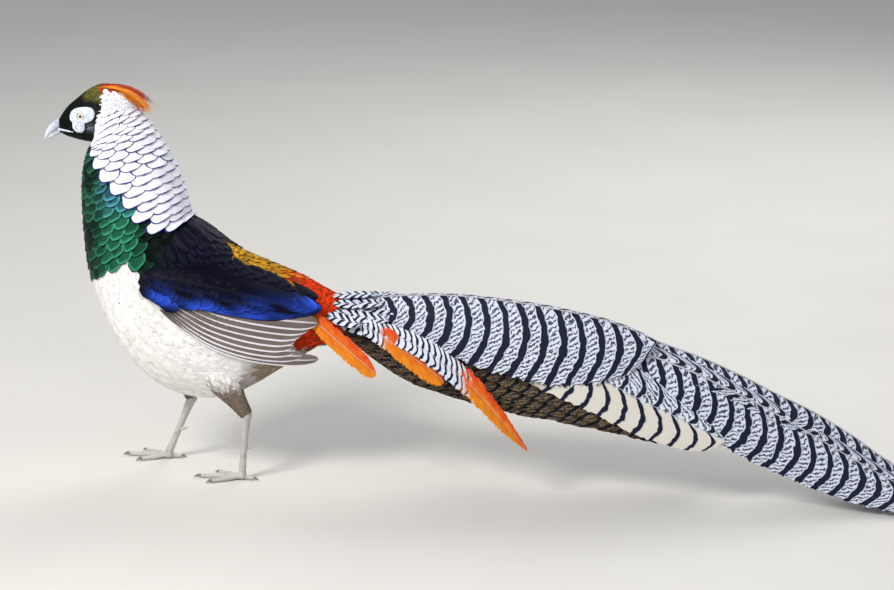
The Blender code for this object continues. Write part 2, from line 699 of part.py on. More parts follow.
def sheet_solid(name, top, bottom):
    """A closed thin solid between two grids of points, split into triangles alike on both."""
    rows, cols = top.shape[:2]
    points = np.concatenate([top.reshape(-1, 3), bottom.reshape(-1, 3)])
    under = rows * cols
    faces = []
    for i in range(rows - 1):
        for j in range(cols - 1):
            a, b = i * cols + j, (i + 1) * cols + j
            faces += [(a, a + 1, b + 1), (a, b + 1, b)]
            faces += [(under + a, under + b + 1, under + a + 1), (under + a, under + b, under + b + 1)]
    rim = [j for j in range(cols)] + [i * cols + cols - 1 for i in range(1, rows)]
    rim += [(rows - 1) * cols + j for j in range(cols - 2, -1, -1)]
    rim += [i * cols for i in range(rows - 2, 0, -1)]
    for k, a in enumerate(rim):
        b = rim[(k + 1) % len(rim)]
        faces += [(a, under + a, under + b), (a, under + b, b)]
    return add_object(name, points, faces)


def mirrored(rows):
    """A left-side tail feather's rows for the far side, where the roof of feathers lies flatter."""
    far = rows.copy()
    flat = np.clip((rows[:, 0] - 190) / 200, 0, 1)
    far[:, 1] = -rows[:, 1]
    far[:, 2] = rows[:, 2] - 10 * flat
    far[:, 3] = -(rows[:, 5] - FAR_SIDE_TILT * flat)
    far[:, 4] = rows[:, 6]
    far[:, 5] = -(rows[:, 3] - FAR_SIDE_TILT * flat)
    far[:, 6] = rows[:, 4]
    return far


def build_tail():
    """The tail: two very long barred feathers, five shorter pairs below, and coverts over their roots."""
    tail = loft("tail", TAIL_CORE, 14)
    centre, forward = ring_plane(TAIL_CUT)
    cut_flat(tail, centre - forward * GAP / 2, forward)
    feathers = [sheet_solid("near", *sheet_points(NEAR_LONG, 17, 0.05))]
    feathers.append(sheet_solid("far", *sheet_points(FAR_LONG, 16, 0.05)))
    feathers.append(sheet_solid("top", *sheet_points(TOP_COVERT, 10, 0.06)))
    sides = [(SIDE_ONE, 8), (SIDE_TWO, 6), (SIDE_THREE, 5), (SIDE_FOUR, 5), (SIDE_FIVE, 5)]
    sides += [(rows, 5) for rows in TIPPED_COVERTS]
    for rows, steps in sides:
        feathers.append(sheet_solid("side", *sheet_points(rows, steps)))
        feathers.append(sheet_solid("side", *sheet_points(mirrored(rows), steps)))
    combine(tail, feathers, "UNION")
    cut_flat(tail, (0, 0, 0), (0, 0, -1))
    return tail


def wing_y(x, z):
    """How far out the folded wing's surface lies, as the left side's positive distance from the middle."""
    fore = np.clip((-x - 30) / 55, 0, 1) ** 2
    aft = np.clip((x - 5) / 165, 0, 1.1) ** 2
    low = ((z - 232) / 70) ** 2
    return 74.5 - 15 * fore - 34 * aft - 12 * low * (1 - 0.5 * np.clip(aft, 0, 1))


def wing_vane(root, tip, width, lift, sag, steps=4, cols=2):
    """One vane in the wing's sheet from root to tip in the side view, its edges following the sheet."""
    t = np.linspace(0, 1, steps)
    way = np.array(tip, float) - np.array(root, float)
    length = np.hypot(*way)
    way /= length
    side = np.array((-way[1], way[0]))
    line = np.array(root, float) + np.outer(t * length, way) + np.outer(-sag * 4 * t * (1 - t), side)
    share = np.interp(t, (0, 0.3, 0.8, 1), (0.6, 1.0, 0.9, 0.22))
    across = np.linspace(-0.5, 0.5, cols)
    grid = line[:, None, :] + across[None, :, None] * share[:, None, None] * width * side
    x, z = grid[..., 0], grid[..., 1]
    out = wing_y(x, z) + lift[0] + (lift[1] - lift[0]) * t[:, None]
    top = np.stack([x, -out, z], axis=-1)
    bottom = np.stack([x, -(out - 0.8), z], axis=-1)
    return top, bottom


def build_wings():
    """A folded wing on each side: a core, ten long feathers in a fan and two tiers of coverts over them."""
    made = []
    for name, sign in (("left", 1), ("right", -1)):
        rings = stacked_rings(WING_CORE, np.arange(0, 5.5, 0.5), 12)
        x, z = rings[..., 0], rings[..., 2]
        rings[..., 1] = sign * (rings[..., 1] - (wing_y(x, z) - 12))
        wing = add_object("wing_" + name, *ring_solid(rings))
        turn = np.array((1, sign, 1))
        vanes = []
        for root, tip, width, lift, sag in WING_FEATHERS:
            top, bottom = wing_vane(root, tip, width, lift, sag)
            vanes.append(sheet_solid("flight", top * turn, bottom * turn))
        for root, tip, width, lift, sag in WING_COVERTS:
            top, bottom = wing_vane(root, tip, width, lift, sag)
            vanes.append(sheet_solid("covert", top * turn, bottom * turn))
        combine(wing, vanes, "UNION")
        combine(wing, [body_loft("torso_room", 0.5, 14, GAP)], "DIFFERENCE")
        made.append(wing)
    return made


def cape_vane(s, theta, length, width, first=-4.0, last=2.6):
    """A cape feather lying on the neck from station s at angle theta, running down and towards the back."""
    t = np.array([0, 0.5, 1])
    unit = 27.0  # millimetres to a body station along the neck
    run = s - t * length / unit
    swing = theta * np.exp(-0.2 * (s - run))
    half = np.interp(t, (0, 0.5, 1), (0.6, 1.0, 0.5)) * width / 2
    lift = first + (last - first) * t
    reach = rows_at(BODY, run)
    half_height = np.hypot(reach[:, 2] - reach[:, 0], reach[:, 3] - reach[:, 1]) / 2
    radius = np.maximum((half_height + reach[:, 4]) / 2, 12)
    columns = []
    for share in (-1, 1):
        columns.append((swing + share * half / radius, lift))
    top = np.stack([section_points(BODY, run, angle, grow) for angle, grow in columns], axis=1)
    bottom = np.stack([section_points(BODY, run, angle, grow - 0.75) for angle, grow in columns], axis=1)
    return top, bottom


def cape_vanes():
    vanes = []
    for k, s in enumerate(np.linspace(CAPE_FIRST, CAPE_LAST, CAPE_ROWS)):
        share = k / (CAPE_ROWS - 1)
        width, length = 22 + 8 * share, 40 + 15 * share
        spread = np.interp(s, *zip(*CAPE_SPREAD))
        row = rows_at(BODY, s)[0]
        radius = (np.hypot(row[2] - row[0], row[3] - row[1]) / 2 + row[4]) / 2
        count = max(2, int(round(2 * spread * radius / (width * 1.04))))
        shift = 0.5 if k % 2 else 0.0
        for i in range(count + (k % 2 == 0)):
            theta = ((i + shift) / count * 2 - 1) * spread
            top, bottom = cape_vane(s, theta, length, width)
            vanes.append(sheet_solid("cape_feather", top, bottom))
    return vanes


def crest_locks():
    """Flat silky locks that sweep back from the crown over the nape."""
    locks = []
    for x, y, tip_x, tip_y, tip_z, arch, width in CREST_LOCKS:
        t = np.linspace(0, 1, 6)
        line_x = x + (tip_x - x) * t
        line_y = y + (tip_y - y) * t
        line_z = 513 + (tip_z - 513) * t + arch * 4 * t * (1 - t) * (1 - 0.35 * t)
        half = width / 2 * np.interp(t, (0, 0.3, 0.7, 1), (0.7, 1, 0.8, 0.15))
        middle = np.stack([line_x, line_y, line_z], axis=1)
        side = np.stack([np.zeros(6), half, -np.abs(line_y) * 0.02 * half], axis=1)
        top = np.stack([middle - side, middle + side], axis=1)
        thick = np.interp(t, (0, 0.6, 1), (2.4, 1.4, 0.5))
        bottom = top - np.stack([np.zeros(6), np.zeros(6), thick], axis=1)[:, None, :]
        locks.append(sheet_solid("lock", top, bottom))
    return locks


def settle_on_origin():
    """Moves every solid so that the middle of the bird's box is over the origin."""
    corners = np.array([v.co[:] for o in bpy.data.objects for v in o.data.vertices])
    low, high = corners.min(axis=0), corners.max(axis=0)
    shift = Vector((-(low[0] + high[0]) / 2, -(low[1] + high[1]) / 2, 0))
    for obj in bpy.data.objects:
        for vertex in obj.data.vertices:
            vertex.co += shift


def main():
    for obj in list(bpy.data.objects):
        bpy.data.objects.remove(obj)
    build_torso()
    build_neck_and_cape()
    build_head()
    for side in LEGS:
        build_leg(side)
    build_wings()
    build_tail()
    settle_on_origin()
    for node in bpy.data.objects:
        finish(node)


main()
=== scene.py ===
# %% [markdown]
# # A cock pheasant in full feather
#
# The real bird is flesh and bone under some thousands of feathers, and only
# the feathers, the bare face and the legs show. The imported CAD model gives
# every body part its true place. This lesson keeps that frame and dresses it:
# one skin over the flesh, and over it feathers in layers, each a small curved
# sheet of mesh. Hair strands would be quicker to set up, but a pheasant's
# feathers are broad enough to be seen one by one.

# %% Load the frame
import functools
import math

import bpy
import numpy as np
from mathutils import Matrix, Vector


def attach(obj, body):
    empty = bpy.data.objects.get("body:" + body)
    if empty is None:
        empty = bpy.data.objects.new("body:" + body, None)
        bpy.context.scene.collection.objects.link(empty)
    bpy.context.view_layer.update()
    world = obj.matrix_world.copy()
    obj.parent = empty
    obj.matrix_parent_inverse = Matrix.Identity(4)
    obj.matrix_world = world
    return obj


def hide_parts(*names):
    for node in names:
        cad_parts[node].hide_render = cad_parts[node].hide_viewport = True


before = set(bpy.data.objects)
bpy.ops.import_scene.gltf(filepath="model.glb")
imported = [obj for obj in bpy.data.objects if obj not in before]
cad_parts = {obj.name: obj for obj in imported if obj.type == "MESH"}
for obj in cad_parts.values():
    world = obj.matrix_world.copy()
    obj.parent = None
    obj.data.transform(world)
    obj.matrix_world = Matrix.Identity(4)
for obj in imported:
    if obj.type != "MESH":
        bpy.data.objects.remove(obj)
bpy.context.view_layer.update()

MM = 0.001
SHIFT = np.array((-466.6, 0.0, 0.0))  # from the tables' own origin to the frame's, in millimetres
SIDES = {"left": -1, "right": 1}
rng = np.random.default_rng(7)

# %% [markdown]
# ## Body and head as rings
#
# Body and head are round in section and change slowly along their length. They
# could be sculpted, or built from balls that melt together. Here they are
# stacks of rings, because a side view gives each ring's lowest and highest
# point directly. A row holds x and z of the lowest point, x and z of the
# highest, and half the width. The rows run from the tail to the head, so a
# feather always lies towards smaller row numbers.

# %% Rings of body and head, in millimetres
BODY = np.array([
    (222, 212, 226, 232, 7), (196, 196, 207, 242, 19), (166, 184, 184, 247, 26), (140, 168, 164, 256, 37),
    (106, 146, 136, 271, 50), (70, 122, 100, 285, 59), (34, 104, 68, 297, 64), (-8, 101, 42, 309, 67),
    (-50, 112, 22, 324, 68), (-90, 142, 10, 334, 66), (-118, 180, 2, 341, 64), (-136, 222, -6, 347, 61),
    (-149, 262, -13, 354, 58), (-155, 305, -20, 378, 54), (-157, 345, -28, 405, 50), (-157, 380, -40, 430, 46),
    (-155, 405, -54, 453, 41), (-150, 427, -68, 474, 34), (-141, 446, -84, 491, 27), (-139, 449, -122, 509, 23),
], float)
HEAD = np.array([
    (-78, 484, -80, 494, 5), (-88, 468, -88, 506, 14), (-102, 455, -100, 515, 19.5), (-118, 447, -114, 519.5, 22),
    (-134, 443, -130, 519, 22), (-147, 444, -146, 511, 20), (-159, 446, -160, 500, 17),
    (-169, 448.5, -171, 491, 13.5), (-177, 451, -179, 481.5, 10.5), (-183, 454, -184.5, 473, 8.5),
], float)
print(len(BODY), "rings for the body and", len(HEAD), "for the head")


# %% A smooth surface through the rings
def stacked(*values):
    """Several arrays, spread to one shape, as the coordinates of points."""
    return np.stack(np.broadcast_arrays(*values), axis=-1)


def turns(around):
    """Equal angles once round, one for each point of a ring."""
    return np.linspace(0, 2 * np.pi, around, endpoint=False)[None, :]


def rows_at(table, s):
    """Catmull-Rom: 0.5 (2b + (c-a) t + (2a-5b+4c-d) t^2 + (3b-a-3c+d) t^3) between rows b and c."""
    s = np.clip(np.asarray(s, float).ravel(), 0, len(table) - 1)
    i = np.clip(np.floor(s).astype(int), 0, len(table) - 2)
    t = (s - i)[:, None]
    a, b, c, d = table[np.maximum(i - 1, 0)], table[i], table[i + 1], table[np.minimum(i + 2, len(table) - 1)]
    return 0.5 * (2 * b + (c - a) * t + (2 * a - 5 * b + 4 * c - d) * t**2 + (3 * b - a - 3 * c + d) * t**3)


def surface(table, s, theta, grow=0.0):
    """Ring point = centre + (half height + grow) cos(theta) up, and (half width + grow) sin(theta) across."""
    s, theta, grow = np.broadcast_arrays(*(np.asarray(v, float) for v in (s, theta, grow)))
    row = rows_at(table, s)
    low, high = row[:, 0:2], row[:, 2:4]
    span = np.linalg.norm(high - low, axis=1, keepdims=True)
    side = (low + high) / 2 + (high - low) / span * (span / 2 + grow.reshape(-1, 1)) * np.cos(theta).reshape(-1, 1)
    across = (row[:, 4] + grow.ravel()) * np.sin(theta).ravel()
    return np.stack([side[:, 0], across, side[:, 1]], axis=1).reshape(s.shape + (3,))


def steps_along(table, s, theta):
    """Millimetres to a table row along the body, and to a radian round it, from points a little to each side."""
    s = np.clip(s, 0.1, len(table) - 1.1)
    run = np.linalg.norm(surface(table, s + 0.1, theta) - surface(table, s - 0.1, theta), axis=-1) / 0.2
    turn = np.linalg.norm(surface(table, s, theta + 0.05) - surface(table, s, theta - 0.05), axis=-1) / 0.1
    return np.maximum(run, 6), np.maximum(turn, 4)


print("The back at the fifth ring lies at", surface(BODY, 5, 0.0).round(1), "mm")


# %% [markdown]
# ## Meshes from grids of points
#
# Every piece is a grid of points, or rings of them, worked out as one array
# and put into a mesh at once. Blender's own primitives and modifiers could
# make them too, but a formula keeps each shape exact and easy to change. Each
# piece then rides on the bird's one body, with the material it was built with.

# %% Faces of grids and rings
def grid_faces(count, rows, cols):
    """Corner numbers of the quads of count grids of rows by cols points."""
    i, j = np.meshgrid(np.arange(rows - 1), np.arange(cols - 1), indexing="ij")
    a = (i * cols + j).ravel()
    quad = np.stack([a, a + 1, a + cols + 1, a + cols], axis=1)
    return (quad[None] + (np.arange(count) * rows * cols)[:, None, None]).reshape(-1, 4)


def ring_faces(rings, around):
    """Corner numbers of the quads between closed rings: a point, its neighbour, and the two on the next ring."""
    i, j = np.meshgrid(np.arange(rings - 1), np.arange(around), indexing="ij")
    a, b = (i * around + j).ravel(), (i * around + (j + 1) % around).ravel()
    return np.stack([a, b, b + around, a + around], axis=1)


def joined(parts):
    """Several pairs of points and faces as one pair, each one's corner numbers moved past those before it."""
    starts = np.cumsum([0] + [len(points) for points, _ in parts])
    return (np.concatenate([points for points, _ in parts]),
            np.concatenate([faces + start for (_, faces), start in zip(parts, starts)]))


print("A grid of 3 by 4 points has", len(grid_faces(1, 3, 4)), "faces")


# %% A mesh and its place on the bird
def paint(mesh, key, colours):
    """Stores a colour for each point of a mesh under a name that a material can read."""
    layer = mesh.attributes.new(key, "FLOAT_COLOR", "POINT")
    layer.data.foreach_set("color", np.concatenate([colours, np.ones((len(colours), 1))], axis=1).ravel())


def build(name, points, faces, material, fields=None, maps=None):
    """A mesh object from points in table millimetres, with values, colours and UV maps for each point."""
    mesh = bpy.data.meshes.new(name)
    mesh.vertices.add(len(points))
    mesh.vertices.foreach_set("co", ((points + SHIFT) * MM).astype(np.float32).ravel())
    faces = np.asarray(faces, np.int32)
    mesh.loops.add(faces.size)
    mesh.loops.foreach_set("vertex_index", faces.ravel())
    mesh.polygons.add(len(faces))
    mesh.polygons.foreach_set("loop_start", np.arange(0, faces.size, faces.shape[1], dtype=np.int32))
    for key, values in (fields or {}).items():
        if values.ndim == 2:
            paint(mesh, key, values.astype(np.float32))
        else:
            mesh.attributes.new(key, "FLOAT", "POINT").data.foreach_set("value", values.astype(np.float32))
    for key, values in (maps or {}).items():
        mesh.uv_layers.new(name=key).data.foreach_set("uv", values.astype(np.float32)[faces.ravel()].ravel())
    mesh.update(calc_edges=True)
    mesh.validate()
    mesh.shade_smooth()
    mesh.materials.append(material)
    piece = bpy.data.objects.new(name, mesh)
    bpy.context.scene.collection.objects.link(piece)
    return piece


def place(piece, slot, *nodes):
    """Rides on the bird's one body and stands for the CAD nodes named, which it hides. slot is not used."""
    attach(piece, "root")
    if nodes:
        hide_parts(*nodes)
    print(piece.name, "has", len(piece.data.polygons), "faces")
    return piece


print("The tables' own origin lies at", SHIFT * MM, "m in the frame")


# %% Closed tubes and lofts
def closed(rings):
    """Rings with the middle of the first before them and the middle of the last after them."""
    ends = [np.broadcast_to(ring.mean(axis=1, keepdims=True), ring.shape) for ring in (rings[:1], rings[-1:])]
    return np.concatenate([ends[0], rings, ends[1]])


def loft(table, rings, around, grow):
    """Points and quads of a table's whole surface, grown outwards and closed at both ends."""
    s = np.linspace(0, len(table) - 1, rings)[:, None]
    points = closed(surface(table, s, turns(around), grow))
    return points.reshape(-1, 3), ring_faces(len(points), around)


def tube(path, radii, around=20, flat=1.0):
    """Point = path + radius (flat cos(turn) across + sin(turn) other), across and other square to the path."""
    path = np.asarray(path, float)
    way = np.gradient(path, axis=0)
    way /= np.linalg.norm(way, axis=1, keepdims=True)
    level = np.where(np.abs(way[:, 1:2]) < 0.7, np.array([[0, 1, 0]]), np.array([[0, 0, 1]]))
    across = np.cross(way, level)
    across /= np.linalg.norm(across, axis=1, keepdims=True)
    other = np.cross(way, across)
    turn = turns(around)[..., None]
    ring = np.cos(turn) * across[:, None] * flat + np.sin(turn) * other[:, None]
    points = closed(path[:, None] + ring * np.asarray(radii, float)[:, None, None])
    return points.reshape(-1, 3), ring_faces(len(points), around)


print("A closed tube through 5 rings of 20 points has", len(ring_faces(7, 20)), "faces")


# %% [markdown]
# ## Feathers as grids
#
# A contour feather is a soft vane on a thin shaft, cupped over the next one
# like a roof tile. One modelled feather could be copied to each root, but it
# would cut into a body that curves. Here every feather of a coat is worked out
# together on the body's own surface: t runs from root to tip and u from one
# edge to the other.

# %% One feather's outline and fields
OUTLINE_ROUNDING = 2.2  # 2 would be an ellipse; more is squarer
RISE_ENDS_AT = 0.45
BARB_SLANT = 1.1  # a barb runs out and forwards, so it meets the edge this much further along


def vane_grid(rows, cols, power):
    """t along, closer together near the tip: 1 - (1 - k) ** power; u across, from one edge, -1, to the other, 1."""
    return (1 - (1 - np.linspace(0, 1, rows)) ** power)[None, :, None], np.linspace(-1, 1, cols)[None, None, :]


def each(values):
    """One value for each feather, shaped to spread over the feather's grid."""
    return np.asarray(values, float)[:, None, None]


def outline(t, root, knee):
    """Half width: a quarter sine up from root, then from knee on (1 - k ** p) ** (1 / p) down to the tip."""
    rise = root + (1 - root) * np.sin(np.pi / 2 * np.clip(t / RISE_ENDS_AT, 0, 1))
    fall = 1 - np.clip((t - knee) / (1 - knee), 0, 1) ** OUTLINE_ROUNDING
    return np.maximum(rise * np.clip(fall, 0, 1) ** (1 / OUTLINE_ROUNDING), 0.03)


def vane_fields(t, u, half, length, slant=BARB_SLANT):
    """inset: millimetres in from the edge; barb: millimetres across the slanting barbs; along: share of length.

    tone: one random number from -1 to 1 for each feather.
    """
    return {"inset": np.minimum((1 - np.abs(u)) * half, (1 - t) * length), "along": t,
            "barb": t * length - np.abs(u) * half * slant, "tone": rng.uniform(-1, 1, (len(half), 1, 1))}


def cell(rows, cols):
    """A feather's own square of the baked map: across it from side to side and along it from root to tip."""
    return stacked(np.linspace(0.06, 0.94, cols)[None, :], np.linspace(0.06, 0.94, rows)[:, None])[None]


print("A tile's half width at its middle is", round(float(outline(0.5, 0.35, 0.55)), 2), "of its greatest")


# %% Feathers laid on a surface
def laid(table, s, theta, length, width, lift, grid, swing=0.0, cup=0.8, ragged=0.0, shape=(0.35, 0.55)):
    """Feathers from their roots towards smaller s, turned by swing, cupped and lifted off the surface.

    A point at t along and u across is at s - (t L cos(swing) - u half sin(swing)) / step and
    theta + (t L sin(swing) + u half cos(swing)) / radius, raised by lift from root to tip less
    cup u^2 (0.3 + t). ragged moves the edge and the tip by that share at random.
    """
    rows, cols = grid
    s, theta, length, width, swing = (each(np.broadcast_to(v, np.shape(s))) for v in (s, theta, length, width, swing))
    t, u = vane_grid(rows, cols, 1.45)
    half = outline(t, *shape) * width / 2
    if ragged:
        half = half * (1 + ragged * rng.uniform(-1, 1, (len(s), rows, cols)) * t)
        towards_tip = np.linspace(0, 1, rows)[None, :, None] ** 2
        t = t * (1 + 0.5 * ragged * rng.uniform(-1, 1, (len(s), 1, cols)) * towards_tip)
    run, turn = steps_along(table, s, theta)
    for _ in range(3):  # the step is measured at the feather's middle, which the step itself moves
        run = (run + steps_along(table, s - length / run / 2, theta)[0]) / 2
    ahead = t * length * np.cos(swing) - u * half * np.sin(swing)
    aside = t * length * np.sin(swing) + u * half * np.cos(swing)
    rise = lift[0] + (lift[1] - lift[0]) * t - cup * u**2 * (0.3 + t)
    points = surface(table, s - ahead / run, theta + aside / turn, rise)
    fields = vane_fields(t, u, half, length)
    patch = np.concatenate([(theta / (2 * np.pi)) % 1.0, s / (len(table) - 1)], axis=-1)[:, :, None, :]
    own = stacked(u, t) * np.array((0.0015, 0.003))
    return {"points": points, "fields": fields, "bake": 0.01 + 0.98 * patch + own, "own": cell(rows, cols)}


print("On the flank a row of the table is", steps_along(BODY, np.array([10.0]), np.array([1.2]))[0].round(1), "mm")


# %% Rows of roots
def roots(table, first, last, pitch, width, spread, seed, loose=0.12):
    """Staggered rows of roots from station first down to last, spread radians to each side of the back.

    pitch, width and spread are each a pair of stations and values, read off between them. The rows
    lie pitch apart and the roots in a row width apart, moved at random by the share loose.
    """
    s, stations = first, []
    while s > last:
        stations.append(s)
        run, _ = steps_along(table, np.array([s]), np.array([1.2]))
        s -= np.interp(s, *pitch) / run[0]
    found = []
    for k, s in enumerate(stations):
        reach = np.interp(s, *spread)
        _, turn = steps_along(table, np.full(9, s), np.linspace(-reach, reach, 9))
        count = max(2, int(round(2 * reach * turn.mean() / np.interp(s, *width))))
        theta = (np.arange(count) + (0.5 if k % 2 else 0.0)) / count * 2 * reach - reach
        found.append(np.stack([np.full(count, s), theta]))
    s, theta = np.concatenate(found, axis=1)
    run, turn = steps_along(table, s, theta)
    jolt = np.random.default_rng(seed).uniform(-1, 1, (len(s), 2)) * loose
    s = s + jolt[:, 0] * np.interp(s, *pitch) / run
    return s, theta + jolt[:, 1] * np.interp(s, *width) / turn


ALL_ROUND = ((0,), (math.pi,))
print(len(roots(BODY, 19, 1, ((0,), (10,)), ((0,), (12,)), ALL_ROUND, 1)[0]), "roots if tiles were 10 by 12 mm")


# %% Sheets of feathers as one piece
def feather_piece(name, sheets, material, slot, *nodes):
    """Joins many grids of feathers into one piece, with a value or a colour of each field at each point."""
    parts, fields, maps = [], {}, []
    for sheet in sheets:
        shape = sheet["points"].shape[:3]
        parts.append((sheet["points"].reshape(-1, 3), grid_faces(*shape)))
        for key, values in sheet["fields"].items():
            colour = (3,) if np.ndim(values) == 4 else ()
            fields.setdefault(key, []).append(np.broadcast_to(values, shape + colour).reshape((-1,) + colour))
        maps.append(np.broadcast_to(sheet["bake"], shape + (2,)).reshape(-1, 2))
    fields = {key: np.concatenate(values) for key, values in fields.items()}
    piece = build(name, *joined(parts), material, fields, {"OFBake": np.concatenate(maps)})
    return place(piece, slot, *nodes)


def atlas(sheets):
    """Gives every feather of these sheets a square of its own in the baked map."""
    total = sum(len(sheet["points"]) for sheet in sheets)
    across = math.ceil(math.sqrt(total))
    down = math.ceil(total / across)
    start = 0
    for sheet in sheets:
        index = np.arange(start, start + len(sheet["points"]))
        corner = np.stack([index % across, index // across], axis=1)[:, None, None, :]
        sheet["bake"] = (corner + sheet["own"]) / np.array((across, down))
        start += len(index)
    return sheets


def coloured(sheet, inner, rim, band):
    """Adds an inner colour, a rim colour and the rim's width, one of each for a feather, to a sheet."""
    count = len(sheet["points"])
    sheet["fields"]["base"] = np.broadcast_to(inner, (count, 3))[:, None, None, :]
    sheet["fields"]["rim"] = np.broadcast_to(rim, (count, 3))[:, None, None, :]
    sheet["fields"]["band"] = np.broadcast_to(band, (count,))[:, None, None]
    return sheet


print("A grid of 10 by 11 points is", len(grid_faces(1, 10, 11)), "faces to a feather")


# %% [markdown]
# ## Colours and materials
#
# Colours are written as the hex numbers that a screen shows, and one function
# turns them into the linear values that the renderer adds up. One more adds a
# node, so that a material reads like a short recipe. Patterns follow each
# feather by values stored on its own points, because a photograph or a
# projected picture would smear over the curved coat.

# %% Colours and nodes
SMOOTH = {"interpolation_type": "SMOOTHSTEP"}
COLOUR = {"data_type": "RGBA", "out": 2}


def tint(code):
    """Linear colour from a hex code: c / 12.92 below 0.04045, else ((c + 0.055) / 1.055) ** 2.4."""
    c = np.array([int(code[i : i + 2], 16) for i in (1, 3, 5)]) / 255
    return np.where(c <= 0.04045, c / 12.92, ((c + 0.055) / 1.055) ** 2.4)


def node(tree, kind, *values, out=0, sockets=None, **settings):
    """Adds a node, sets its options, fills or links its sockets in order and by name, and returns one output."""
    made = tree.nodes.new("ShaderNode" + kind)
    for key, value in settings.items():
        setattr(made, key, value)
    for key, value in [*enumerate(values), *(sockets or {}).items()]:
        if isinstance(value, bpy.types.NodeSocket):
            tree.links.new(value, made.inputs[key])
        else:
            made.inputs[key].default_value = (*tint(value), 1) if isinstance(value, str) else value
    return made.outputs[out]


def new_material(name, **sockets):
    """An empty material with its shader's own sockets set, the node function for its tree, and the shader."""
    made = bpy.data.materials.new(name)
    made.use_nodes = True
    shader = made.node_tree.nodes["Principled BSDF"]
    for key, value in sockets.items():
        shader.inputs[key.replace("_", " ").title().replace("Ior", "IOR")].default_value = value
    return made, functools.partial(node, made.node_tree), shader


def wire(shader, colour, height=None, depth=0.0, strength=0.0):
    """Links a colour to the shader, and a height in metres of depth as small bumps."""
    tree = shader.id_data
    tree.links.new(colour, shader.inputs["Base Color"])
    if height is not None:
        bump = node(tree, "Bump", sockets={"Height": height, "Distance": depth, "Strength": strength})
        tree.links.new(bump, shader.inputs["Normal"])


print("The cape's white is", tint("#f0f0f8").round(3), "in linear light")


# %% Barbs and the feather material
def barbed(add, colour, pitch, dark, noise_scale=900):
    """A colour times 1 - dark ridges, and the ridges: smooth step of sin(2 pi barb / pitch) + noise every 1.1 mm.

    Real barbs are nearer 0.3 mm apart, too fine to show here, so they are drawn two to four times as coarse.
    """
    barb = add("Attribute", out="Fac", attribute_name="barb")
    line = add("Math", add("Math", barb, 2 * math.pi / pitch, operation="MULTIPLY"), operation="SINE")
    noise = add("TexNoise", add("TexCoord", out="Object"), sockets={"Scale": noise_scale})
    ridges = add("MapRange", add("Math", line, noise, operation="ADD"), -0.6, 1.4, **SMOOTH)
    share = add("Math", ridges, dark, operation="MULTIPLY")
    return add("Mix", share, sockets={6: colour, 7: "#000000"}, blend_type="MULTIPLY", **COLOUR), ridges


def feather_material(name, barb, dark, painted_sheen=0.0, **sockets):
    """Keratin barbs: inner colour, rim colour within band of the edge, darker ridges, and a painted sheen towards the
    rim.

    barb is the millimetres from one barb to the next, dark how dark it is between them. Brightness, a
    painted sheen, is 1 + its amount near the rim, falling to 1 - that amount 5 mm inside it, + 0.12 tone of each
    feather.
    """
    made, add, shader = new_material(name, **sockets)
    inset, band, tone = (add("Attribute", out="Fac", attribute_name=key) for key in ("inset", "band", "tone"))
    base, rim = (add("Attribute", out="Color", attribute_name=key) for key in ("base", "rim"))
    past_band = add("Math", inset, band, operation="SUBTRACT")
    in_rim = add("MapRange", past_band, -0.25, 0.25, 1, 0, **SMOOTH)
    colour, ridges = barbed(add, add("Mix", in_rim, sockets={6: base, 7: rim}, **COLOUR), barb, dark)
    # Painted sheen: brighter just inside the rim, darker further in.
    shine = add("MapRange", past_band, 0.2, 5.0, painted_sheen, -painted_sheen, **SMOOTH)
    value = add("Math", shine, add("Math", tone, 0.12, 1.0, operation="MULTIPLY_ADD"), operation="ADD")
    colour = add("HueSaturation", sockets={"Value": value, "Color": colour})
    wire(shader, colour, ridges, 0.0002, 0.5)
    return made


# Firm feathers shine softly along their curve, a sheen painted into their colour; soft down hardly shines at all.
firm_feathers = feather_material("scaled_feathers", 0.9, 0.3, 0.55, roughness=0.4, specular_ior_level=0.06)
soft_feathers = feather_material("soft_feathers", 0.9, 0.12, roughness=0.9, specular_ior_level=0.15)
print("Feather materials:", firm_feathers.name, "and", soft_feathers.name)

# %% [markdown]
# ## Where each colour lies
#
# The foreneck is green, painted darker in front and brighter on the breast's
# side as sheen, with turquoise above; the mantle is blue-black, the rump gold
# and vermilion, the belly white. These could be painted by hand on a map. One
# function of place says it here, and the skin and the feathers over it both ask
# it, so they carry the same marks.

# %% Edges and blends
# The cape covers all that lies behind these points.
CAPE_EDGE = np.array([(-127, 530), (-124, 470), (-118, 440), (-100, 419), (-83, 400), (-63, 384), (-37, 366),
                      (6, 340)], float)


def behind_edge(x, z):
    """True behind the front edge of the cape in the side view."""
    return x > np.interp(-z, -CAPE_EDGE[:, 1], CAPE_EDGE[:, 0])


def blended(a, b, share):
    """Mix a + (b - a) share, where a and b may be colours or plain numbers."""
    share = share[..., None] if np.ndim(a) > np.ndim(share) else share
    return a + (b - a) * share


def stepped(v, low, high):
    """Smooth step: t^2 (3 - 2t), t going from 0 at low to 1 at high."""
    t = np.clip((v - low) / (high - low), 0, 1)
    return t * t * (3 - 2 * t)


def painted(code, x):
    """One colour at every place of x."""
    return np.broadcast_to(tint(code), np.shape(x) + (3,))


print("Half way along, a smooth step is at", stepped(0.5, 0, 1))

# %% Markings
# The white of the belly lies below these points of x and z.
WHITE_EDGE = np.array([(-175, 262), (-145, 271), (-108, 293), (-80, 297), (-56, 262), (-33, 237), (20, 215),
                       (90, 190), (150, 184), (230, 190)], float)


